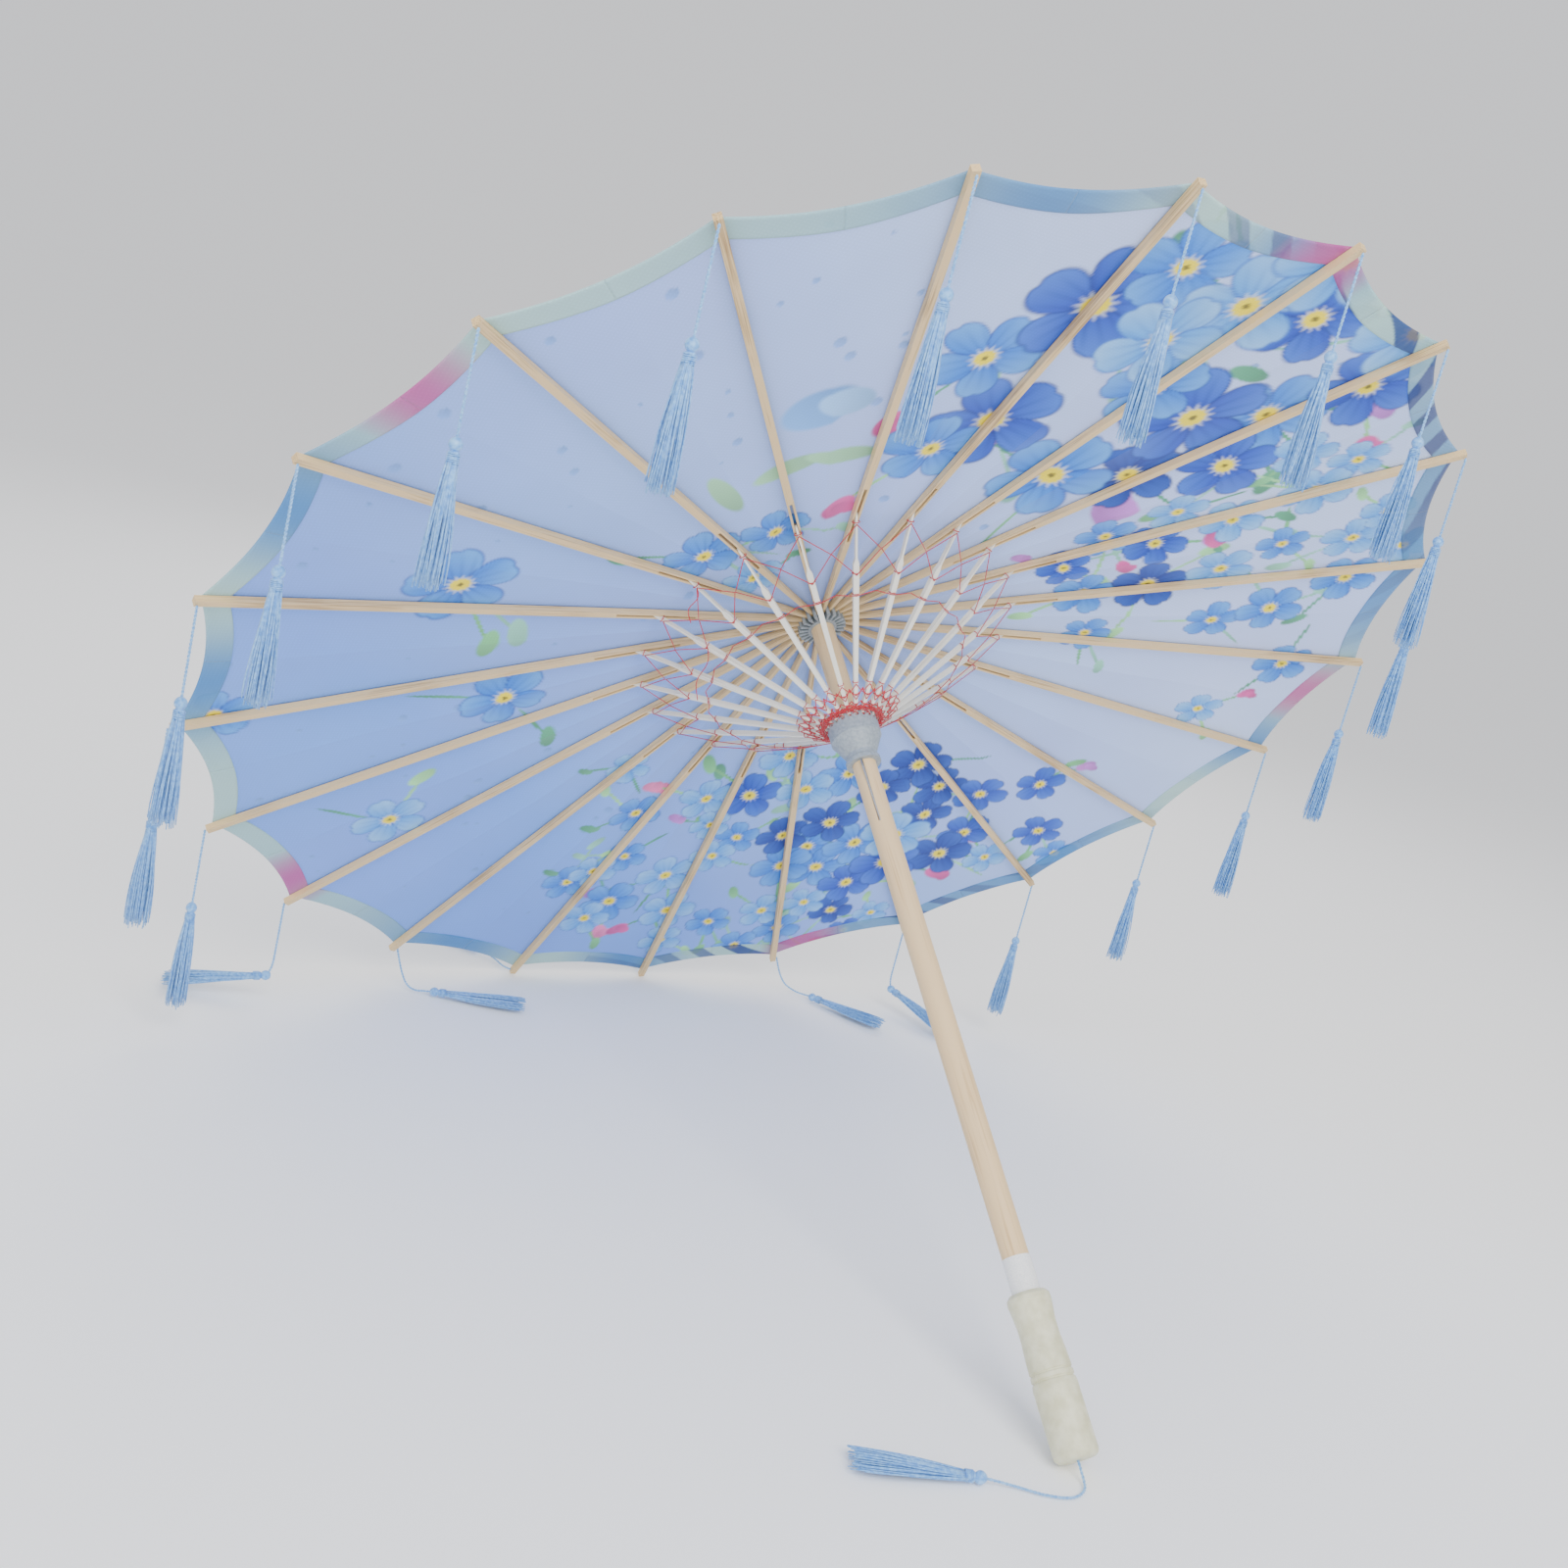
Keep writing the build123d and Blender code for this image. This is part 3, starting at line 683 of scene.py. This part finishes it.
# ------------------------------------------------------------------ canopy
@dataclass
class Canopy:
    """The cloth, cut at each middle of a gore so that every strip folds with its rib.

    Attributes:
        hole: inner radius under the cap.
        rim: radius at the rib tips.
        hem: width of the folded border.
        scallop: how far the rim is hollowed between tips.
        above_rib: cloth's middle over the rib's axis.
        step: spacing of the mesh.
    """

    hole: float = 18.0
    rim: float = 416.5
    hem: float = 15.0
    scallop: float = 8.5
    above_rib: float = 2.95
    step: float = 1.6
    printing: FloralPrint = field(default_factory=FloralPrint)

    def surface(self, r: np.ndarray, u: np.ndarray, azimuth: float, lift: float) -> np.ndarray:
        """Places points of one strip.

        Args:
            r: radius along the rib, 0 at the axis.
            u: -1 to 1 across the strip.
            azimuth: of the rib.
            lift: distance over the cloth's middle.

        Returns:
            Upright points in millimetres.
        """
        half = math.radians(PITCH / 2)
        slope = math.atan2(PLACE.hinge_z, TIP_RADIUS - HINGE_RADIUS)
        across = r * math.tan(half) * abs(u) * math.cos(half)
        angle = np.arctan2(across * math.cos(half), r - across * math.sin(half)) * np.sign(u)
        flat = np.hypot(across * math.cos(half), r - across * math.sin(half))
        depth = abs(u)
        z = PLACE.hinge_z - (r - 12.5) * math.tan(slope) + self.above_rib / math.cos(slope) + lift
        sag = 2.6 * depth**2 * np.sin(np.clip(r / self.rim, 0, 1) * math.pi * 0.95)
        ripple = 0.7 * depth * np.sin((r * 0.05) + 2.0 * depth)
        pull = ripple * np.exp(-((1 - depth) ** 2) * 2) * (r / self.rim)
        phi = azimuth + angle
        return np.stack([flat * np.cos(phi), flat * np.sin(phi), z - sag - pull], -1)

    def outer(self, u: np.ndarray) -> np.ndarray:
        """Radius of the rim across a strip, hollowed between the tips."""
        return self.rim - self.scallop * (1 - (1 - abs(u)) ** 2)

    def strip(self, number: int, hem: bool, material: bpy.types.Material) -> bpy.types.Object:
        """Builds one strip of the canopy or of its hem.

        Args:
            number: the rib it lies on.
            hem: whether it is the border.
            material: the cloth.

        Returns:
            The piece.
        """
        azimuth = PLACE.azimuth(number)
        rows = 12 if hem else int((self.rim - self.hem - self.hole) / self.step)
        cols = 77
        u = np.linspace(-1, 1, cols)
        share = np.linspace(0, 1, rows)
        edge = self.outer(u)
        low = edge - self.hem if hem else np.full(cols, self.hole)
        high = edge if hem else edge - self.hem + 1.0
        r = low[None] + (high - low)[None] * share[:, None]
        uu = np.broadcast_to(u, r.shape)
        layers = []
        for lift in ((0.55, -0.55) if hem else (0.0,)):
            fold = 1.0 - 0.85 * (share > 0.99) if hem else np.ones(rows)
            layers.append(self.surface(r, uu, azimuth, lift * fold[:, None]).reshape(-1, 3))
        upright = np.concatenate(layers)
        faces = []
        for i in range(rows - 1):
            for j in range(cols - 1):
                a = i * cols + j
                faces.append((a, a + 1, a + cols + 1, a + cols))
        count = rows * cols
        if hem:
            faces += [tuple(count + n for n in reversed(f)) for f in list(faces)]
            ring = [*range(cols), *range(2 * cols - 1, count, cols)]
            ring += [*range(count - 2, count - cols - 1, -1), *range(count - 2 * cols, 0, -cols)]
            for a, b in zip(ring, ring[1:] + ring[:1]):
                faces.append((b, a, a + count, b + count))
        name = f"{'hem' if hem else 'canopy'}_strip_{number:02d}"
        piece = mesh_piece(name, PLACE.laid(upright), faces, material)
        paint = np.ones((len(upright), 4))
        paint[:, :3] = self.printing.paint(upright[:, 0], upright[:, 1], hem)
        layer = piece.data.color_attributes.new("print", "FLOAT_COLOR", "POINT")
        layer.data.foreach_set("color", paint.ravel())
        uv = piece.data.uv_layers.new(name="cloth")
        index = np.zeros(len(piece.data.loops), int)
        piece.data.loops.foreach_get("vertex_index", index)
        uv.data.foreach_set("uv", (upright[index, :2] * MM).ravel())
        return piece

    def build(self) -> None:
        self.printing.plant()
        cloth = PrintedCloth().material()
        for number in range(1, RIBS + 1):
            azimuth = PLACE.azimuth(number)
            across = tuple(PLACE.turn(np.array([-math.sin(azimuth), math.cos(azimuth), 0])))
            x, y = HINGE_RADIUS * math.cos(azimuth), HINGE_RADIUS * math.sin(azimuth)
            anchor = tuple(PLACE.laid(np.array([x, y, PLACE.hinge_z])))
            main = self.strip(number, False, cloth)
            hem = self.strip(number, True, cloth)
            for piece, node, slot in ((main, "canopy", "printed_cloth"), (hem, "canopy_hem", "hem_cloth")):
                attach(piece, f"rib_{number:02d}_body")
                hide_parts(node)
                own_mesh(piece)
        LOG.info("canopy: %d strips, %d flowers", RIBS, len(self.printing.blooms))


# ------------------------------------------------------------------ tassels
@dataclass
class Tassels:
    """Rim tassels on their cords, and the one on the handle.

    Attributes:
        cord: length of the cord down to the knot.
        inside: how far it runs on inside the tassel.
        skirt: length from the knot to the ends of the strands.
        strands: how many strands a tassel has.
    """

    cord: float = 50.0
    inside: float = 45.0
    skirt: float = 72.0
    strands: int = 84
    flare: float = 8.0
    seed: int = 11
    floor: float = 1.0
    lying: dict = field(
        default_factory=lambda: {
            12: (52.0, 36.0, 6.0),
            13: (168.0, 44.0, 5.0),
            14: (196.0, 44.0, -5.0),
            15: (40.0, 34.0, -7.0),
        }
    )
    low: dict = field(default_factory=lambda: {11: 20.0, 16: 250.0})
    low_rest: float = 47.0
    low_fall: float = 0.2
    handle_route: tuple = (
        (6.4, 0, -5.3),
        (14, -4, -6.9),
        (18, -15, -6.9),
        (13, -29, -6.9),
        (3, -42, -6.6),
        (-4, -58, -4.0),
    )

    def exit_point(self, number: int) -> np.ndarray:
        """Where the cord leaves a rib tip: beside, past or under it, in metres."""
        clear, slope = 1.2, math.atan2(PLACE.hinge_z, TIP_RADIUS - HINGE_RADIUS)
        length = math.hypot(420.0 - 12.5, PLACE.hinge_z)
        azimuth = PLACE.azimuth(number)
        beside = under = 0.0
        if number in self.lying:
            out = length - 3.0
            beside = (2.3 + clear) * (1.0 if number == 14 else -1.0)
        elif math.cos(azimuth) < -0.1:
            out = length + clear
        else:
            out = length - 1.0
            under = 2.1 + clear
        radius = 12.5 + out * math.cos(slope) - under * math.sin(slope)
        z = PLACE.hinge_z - out * math.sin(slope) - under * math.cos(slope)
        c, s = math.cos(azimuth), math.sin(azimuth)
        return PLACE.laid(np.array([radius * c - beside * s, radius * s + beside * c, z]))

    def route(self, number: int) -> np.ndarray:
        """Control points of a rim cord down to its knot, in metres."""
        start = self.exit_point(number)
        down = np.array([0, 0, -1.0])
        if number in self.lying:
            heading, reach, bend = self.lying[number]
            ahead = np.array([math.cos(math.radians(heading)), math.sin(math.radians(heading)), 0])
            side = np.array([-ahead[1], ahead[0], 0])
            flat = start * (1, 1, 0)
            up = np.array([0, 0, 1.0])
            return np.array(
                [
                    start,
                    flat + ahead * reach * 0.2 * MM + up * (start[2] * 0.35 + self.floor * MM),
                    flat + ahead * reach * 0.6 * MM + side * bend * MM + up * (self.floor + 1.2) * MM,
                    flat + ahead * reach * MM + up * (self.floor + 3.1) * MM,
                ]
            )
        if number in self.low:
            return np.array([start, start + down * (start[2] - self.low_rest * 0.45 * MM)])
        return np.array([start, start + down * self.cord * MM])

    def twisted(self, name: str, path: np.ndarray, material: bpy.types.Material) -> bpy.types.Object:
        """Makes a two-ply cord round a path."""
        along = np.concatenate([[0], np.cumsum(np.linalg.norm(np.diff(path, axis=0), axis=1))])
        fine = np.linspace(0, along[-1], max(int(along[-1] / (0.7 * MM)), 20))
        smooth = np.stack([np.interp(fine, along, path[:, i]) for i in range(3)], -1)
        _, side, other = frames_along(smooth)
        runs = []
        for ply in (0, math.pi):
            turn = fine / (4.4 * MM) * 2 * math.pi + ply
            offset = side * np.cos(turn)[:, None] + other * np.sin(turn)[:, None]
            runs.append((smooth + offset * 0.4 * MM, 0.46 * MM))
        return tubes_piece(name, runs, 6, material)

    def skirt_piece(self, name: str, knot: np.ndarray, ahead: np.ndarray, rng, material) -> bpy.types.Object:
        """Builds bead, neck and strands of one tassel.

        Args:
            name: the piece's name.
            knot: where the cord meets it.
            ahead: the way it hangs or lies.
            rng: random numbers.
            material: the floss.

        Returns:
            The piece.
        """
        ahead = ahead / np.linalg.norm(ahead)
        side = np.cross(ahead, (0.2, 0.95, 0.1) if abs(ahead[2]) > 0.7 else (0, 0, 1.0))
        side /= np.linalg.norm(side)
        other = np.cross(ahead, side)
        lying = abs(ahead[2]) < 0.7
        runs = []
        bead_path = knot + ahead * np.linspace(0.2, 7.0, 15)[:, None] * MM
        bead_radius = (0.6 + 3.0 * np.sin(np.linspace(0.12, math.pi - 0.12, 15)) ** 0.6) * MM
        neck = knot + ahead * np.array([6.6, 7.4, 8.6, 9.8, 11.0, 12.0])[:, None] * MM
        neck_radius = np.array([2.1, 2.9, 2.5, 3.1, 2.7, 3.0]) * MM
        coarse = [(bead_path, bead_radius), (neck, neck_radius)]
        for turn_number in range(5):
            turn = np.linspace(0, 2 * math.pi, 15)
            height = 7.6 + 0.9 * turn_number + 0.9 * turn / (2 * math.pi)
            ring = side * np.cos(turn)[:, None] + other * np.sin(turn)[:, None]
            coarse.append((knot + ahead * height[:, None] * MM + ring * 3.05 * MM, 0.36 * MM))
        steps = np.linspace(0, 1, 8)
        for strand in range(self.strands):
            angle = strand * 2.39996 + rng.uniform(-0.2, 0.2)
            depth = math.sqrt((strand + 0.5) / self.strands)
            length = self.skirt - 11.0 + rng.uniform(-5.0, 1.5)
            spread = self.flare * depth * rng.uniform(0.75, 1.0)
            wave = rng.uniform(0, 6.28)
            radial = 2.4 * depth + (spread - 2.4 * depth) * (1 - (1 - steps) ** 1.7)
            radial = radial + 0.35 * np.sin(steps * 5 + wave)
            a = angle + 0.12 * np.sin(steps * 3 + wave)
            u, v = radial * np.cos(a), radial * np.sin(a)
            if lying:
                u, v = u * 1.35, v * 0.55
            down = ahead * (11.0 + length * steps)[:, None]
            line = knot + (down + side * u[:, None] + other * v[:, None]) * MM
            if lying:
                line[:, 2] = np.maximum(line[:, 2], 0.6 * MM)
            runs.append((line, np.linspace(0.62, 0.30, 8) * MM))
        thick = tubes_piece(name, coarse, 10, material)
        fine = tubes_piece(name + "_strands", runs, 4, material)
        bpy.ops.object.select_all(action="DESELECT")
        thick.select_set(True)
        fine.select_set(True)
        bpy.context.view_layer.objects.active = thick
        bpy.ops.object.join()
        return thick

    def build(self) -> None:
        """Builds every tassel and its cord."""
        rng = np.random.default_rng(self.seed)
        floss, cord_floss = FLOSS.material(), FLOSS_CORD.material()
        for number in range(1, RIBS + 1):
            route = self.route(number)
            ahead = route[-1] - route[-2]
            if number in self.lying:
                ahead = np.array([ahead[0], ahead[1], 0.5 * MM])
            elif number in self.low:
                heading = math.radians(self.low[number])
                ahead = np.array([math.cos(heading), math.sin(heading), -self.low_fall])
            ahead = ahead / np.linalg.norm(ahead)
            inner = route[-1] + ahead * self.inside * MM
            body, joint = f"rib_{number:02d}_body", f"rib_{number:02d}_hinge"
            points = [*route]
            if len(route) == 2:
                points.insert(1, (route[0] + route[1]) / 2)
            path = nurbs_path(np.array([*points, route[-1] + ahead * 12 * MM, inner]))
            cord = self.twisted(f"rim_cord_{number:02d}", path, cord_floss)
            skirt = self.skirt_piece(f"rim_tassel_{number:02d}", route[-1], ahead, rng, floss)
            for piece, node in ((cord, "rim_tassel_cords"), (skirt, "rim_tassels")):
                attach(piece, body)
                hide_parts(node)
                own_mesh(piece)
        self.handle_tassel(rng, floss, cord_floss)
        LOG.info("tassels: %d on the rim, one on the handle", RIBS)

    def handle_tassel(self, rng, floss, cord_floss) -> None:
        """Builds the cord and tassel that leave the butt of the handle."""
        butt = -492.0
        start = PLACE.laid(np.array([0, 0, butt + 6.0]))
        mouth = PLACE.laid(np.array([0, 0, butt]))
        route = np.array([start] + [mouth + np.array(step) * MM for step in self.handle_route])
        ahead = route[-1] - route[-2]
        ahead = np.array([ahead[0], ahead[1], 0.4 * MM])
        ahead = ahead / np.linalg.norm(ahead)
        points = [*route, route[-1] + ahead * 12 * MM, route[-1] + ahead * self.inside * MM]
        path = nurbs_path(np.array(points))
        cord = self.twisted("handle_cord", path, cord_floss)
        skirt = self.skirt_piece("handle_tassel_floss", route[-1], ahead, rng, floss)
        for piece, node in ((cord, "handle_tassel_cord"), (skirt, "handle_tassel")):
            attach(piece, "root")
            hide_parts(node)


# ------------------------------------------------------------------ lacing
@dataclass
class Lacing:
    """Red thread that ties the stretchers together, and the coil over the crown.

    Attributes:
        hinge_radius: of the stretchers on the runner.
        runner_z: height of their hinges.
        joint_radius: of the ends of the stretchers.
        joint_z: height of those ends.
        thread: radius of the thread.
    """

    hinge_radius: float = 12.5
    runner_z: float = -28.5
    joint_radius: float = 132.9
    joint_z: float = 41.0
    thread: float = 0.32
    seed: int = 5

    def on_stretcher(self, number: float, along: float, drop: float = 0.0) -> np.ndarray:
        """A point on a stretcher at a share of its length, in metres."""
        radius = self.hinge_radius + (self.joint_radius - self.hinge_radius) * along
        z = self.runner_z + (self.joint_z - self.runner_z) * along - drop
        azimuth = PLACE.azimuth(number)
        return PLACE.laid(np.array([radius * math.cos(azimuth), radius * math.sin(azimuth), z]))

    def half_threads(self, number: int, rng) -> list:
        """Threads from one stretcher to the middle of each gap beside it."""
        runs = []
        wide = 2.1
        near_runner = ((0.07, 0.12), (0.12, 0.18), (0.18, 0.10), (0.10, 0.22))
        near_ribs = ((0.62, 0.66), (0.96, 0.72), (0.72, 0.96))
        for along, ahead in near_runner + near_ribs:
            for side in (-0.5, 0.5):
                middle = (along + ahead) / 2
                jitter = 0.0 if along == ahead else 0.004 * math.sin(number * 3 + along * 40)
                start = self.on_stretcher(number, along, wide)
                end = self.on_stretcher(number + side, middle + jitter * side, wide)
                runs.append((np.linspace(start, end, 4), self.thread * MM))
        for along in (0.07, 0.12, 0.18, 0.62, 0.72, 0.96):
            centre = self.on_stretcher(number, along)
            azimuth = PLACE.azimuth(number)
            across = PLACE.turn(np.array([-math.sin(azimuth), math.cos(azimuth), 0]))
            run = self.on_stretcher(number, along + 0.1) - centre
            run /= np.linalg.norm(run)
            up = np.cross(run, across)
            turn = np.linspace(0, 2 * math.pi, 13)
            width = 1.6 + 0.6 * min(along / 0.7, 1.0)
            sideways = across * np.cos(turn)[:, None] * (width + 0.2)
            loop = centre + (sideways + up * np.sin(turn)[:, None] * 1.95) * MM
            runs.append((loop, self.thread * MM))
        return runs

    def coil(self, rng) -> list:
        """Loose turns of thread wound round the foot of the stretchers."""
        runs = []
        for turn_number in range(12):
            a = np.linspace(0, 2 * math.pi, 90)
            base = 15.5 + rng.uniform(0, 5.5)
            radius = base + 0.8 * np.sin(a * 11 + rng.uniform(0, 6)) + rng.uniform(-0.3, 0.3, 90)
            z = self.runner_z + (base - self.hinge_radius) * 0.577 - 2.3 - 0.7 * np.sin(a * 22 + turn_number)
            ring = np.stack([radius * np.cos(a), radius * np.sin(a), z], -1)
            runs.append((PLACE.laid(ring), self.thread * MM))
        return runs

    def tails(self) -> list:
        """Two loose thread ends that hang from the lacing."""
        runs = []
        for number, along, drop in ((19, 0.72, 34.0), (20, 0.96, 22.0)):
            start = self.on_stretcher(number, along, 2.2)
            share = np.linspace(0, 1, 12)[:, None]
            line = start + np.array([0.0, 0.0, -1.0]) * drop * MM * share
            line = line + np.array([1.0, 0.6, 0]) * 2.0 * MM * np.sin(share * 7)
            runs.append((line, self.thread * MM))
        return runs

    def build(self) -> None:
        """Builds the thread of each stretcher and the coil on the runner."""
        rng = np.random.default_rng(self.seed)
        cotton = COTTON.material()
        for number in range(1, RIBS + 1):
            azimuth = PLACE.azimuth(number)
            across = tuple(PLACE.turn(np.array([-math.sin(azimuth), math.cos(azimuth), 0])))
            runs = self.half_threads(number, rng)
            runs += [run for n, run in zip((19, 20), self.tails()) if n == number]
            piece = tubes_piece(f"lacing_{number:02d}", runs, 5, cotton)
            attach(piece, f"stretcher_{number:02d}_body")
            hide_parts("lacing_thread")
            tuple(self.on_stretcher(number, 0.0))
            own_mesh(piece)
        coil = tubes_piece("lacing_coil", self.coil(rng), 5, cotton)
        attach(coil, "runner")
        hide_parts("lacing_thread")
        LOG.info("lacing: %d bound stretchers and a coil", RIBS)


# ------------------------------------------------------------------ frame of the parasol
@dataclass
class FrameDress:
    """Gives the CAD frame its finishes."""

    def dress(self, node: str, material: bpy.types.Material) -> None:
        """Puts one material on one CAD node."""
        piece = bpy.data.objects[node]
        piece.data.materials.clear()
        piece.data.materials.append(material)

    def build(self) -> None:
        """Dresses every CAD node that stays visible."""
        shaft_axis = tuple(PLACE.turn(np.array([0, 0, 1.0])))
        slope = math.atan2(PLACE.hinge_z, TIP_RADIUS - HINGE_RADIUS)
        rise = math.atan2(69.5, 120.4)
        for number in range(1, RIBS + 1):
            c, s = math.cos(PLACE.azimuth(number)), math.sin(PLACE.azimuth(number))
            along = PLACE.turn(np.array([c * math.cos(slope), s * math.cos(slope), -math.sin(slope)]))
            self.dress(f"rib_{number:02d}", RIB_BAMBOO.material(tuple(along)))
            along = PLACE.turn(np.array([c * math.cos(rise), s * math.cos(rise), math.sin(rise)]))
            self.dress(f"stretcher_{number:02d}", STRIP_BAMBOO.material(tuple(along)))
        self.dress("shaft", SHAFT_BAMBOO.material(shaft_axis))
        nylon, steel, turned = NYLON.material(), STEEL.material(), TURNED.material()
        for node in ("runner", "top_hub"):
            self.dress(node, nylon)
        for node in ("hub_pivot_ring", "runner_pivot_ring", "catch_spring"):
            self.dress(node, steel)
        for node in ("handle", "top_cap"):
            self.dress(node, turned)
        self.dress("handle_band", PAPER.material())
        LOG.info("frame: %d ribs and stretchers dressed", 2 * RIBS)


# ------------------------------------------------------------------ studio
@dataclass
class Studio:
    """Pale floor, soft light and the camera.

    Attributes:
        eye: upright place of the camera in millimetres.
        ahead: its upright viewing direction.
        top: its upright up direction.
        lens: focal length for a 36 mm sensor.
    """

    eye: tuple = (704.6, -638.4, -575.5)
    ahead: tuple = (-0.6822, 0.5516, 0.4799)
    top: tuple = (0.5281, -0.0823, 0.8453)
    lens: float = 38.3

    def camera(self) -> None:
        """Places the camera as it stands to the leaning parasol."""
        data = bpy.data.cameras.new("camera")
        data.lens = self.lens
        data.sensor_width = 36.0
        eye = PLACE.laid(np.array(self.eye))
        ahead = Vector(PLACE.turn(np.array(self.ahead))).normalized()
        right = ahead.cross(Vector(PLACE.turn(np.array(self.top)))).normalized()
        up = right.cross(ahead)
        turn = Matrix((right, up, -ahead)).transposed().to_4x4()
        camera = bpy.data.objects.new("camera", data)
        camera.matrix_world = Matrix.Translation(Vector(eye)) @ turn
        bpy.context.scene.collection.objects.link(camera)
        bpy.context.scene.camera = camera

    def light(self, name: str, place: tuple, aim: tuple, size: float, power: float) -> None:
        """Adds one square soft light that points at a place."""
        data = bpy.data.lights.new(name, "AREA")
        data.size = size
        data.energy = power
        lamp = bpy.data.objects.new(name, data)
        lamp.location = place
        lamp.rotation_euler = (Vector(aim) - Vector(place)).to_track_quat("-Z", "Y").to_euler()
        bpy.context.scene.collection.objects.link(lamp)

    def build(self) -> None:
        """Builds floor, world light, lamps and camera."""
        self.camera()
        bpy.ops.mesh.primitive_plane_add(size=80, location=(0, 0, -0.0005))
        floor = bpy.context.active_object
        floor.name = "floor"
        floor.data.transform(Matrix.Translation((0, 0, -0.0005)))
        floor.location = (0, 0, 0)
        mat = bpy.data.materials.new("pale_floor")
        mat.use_nodes = True
        mat.node_tree.nodes["Principled BSDF"].inputs["Base Color"].default_value = linear("FFFFFF")
        mat.node_tree.nodes["Principled BSDF"].inputs["Roughness"].default_value = 0.9
        floor.data.materials.append(mat)
        world = bpy.data.worlds.new("studio")
        world.use_nodes = True
        world.node_tree.nodes["Background"].inputs["Color"].default_value = linear("FAFBFF")
        world.node_tree.nodes["Background"].inputs["Strength"].default_value = 0.95
        bpy.context.scene.world = world
        self.light("key", (1.7, -0.4, 1.7), (0, 0, 0.3), 1.4, 46)
        self.light("fill", (0.9, -1.8, 1.0), (0, 0, 0.3), 1.8, 14)
        self.light("back", (-1.6, 0.8, 1.6), (0, 0, 0.3), 1.6, 16)


def main() -> None:
    """Builds the studio, the cords and tassels, then the cloth, the lacing and the frame."""
    logging.basicConfig(level=logging.INFO)
    bpy.ops.object.select_all(action="DESELECT")
    Studio().build()
    Tassels().build()
    Canopy().build()
    Lacing().build()
    FrameDress().build()
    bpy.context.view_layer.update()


if __name__ == "__main__":
    main()
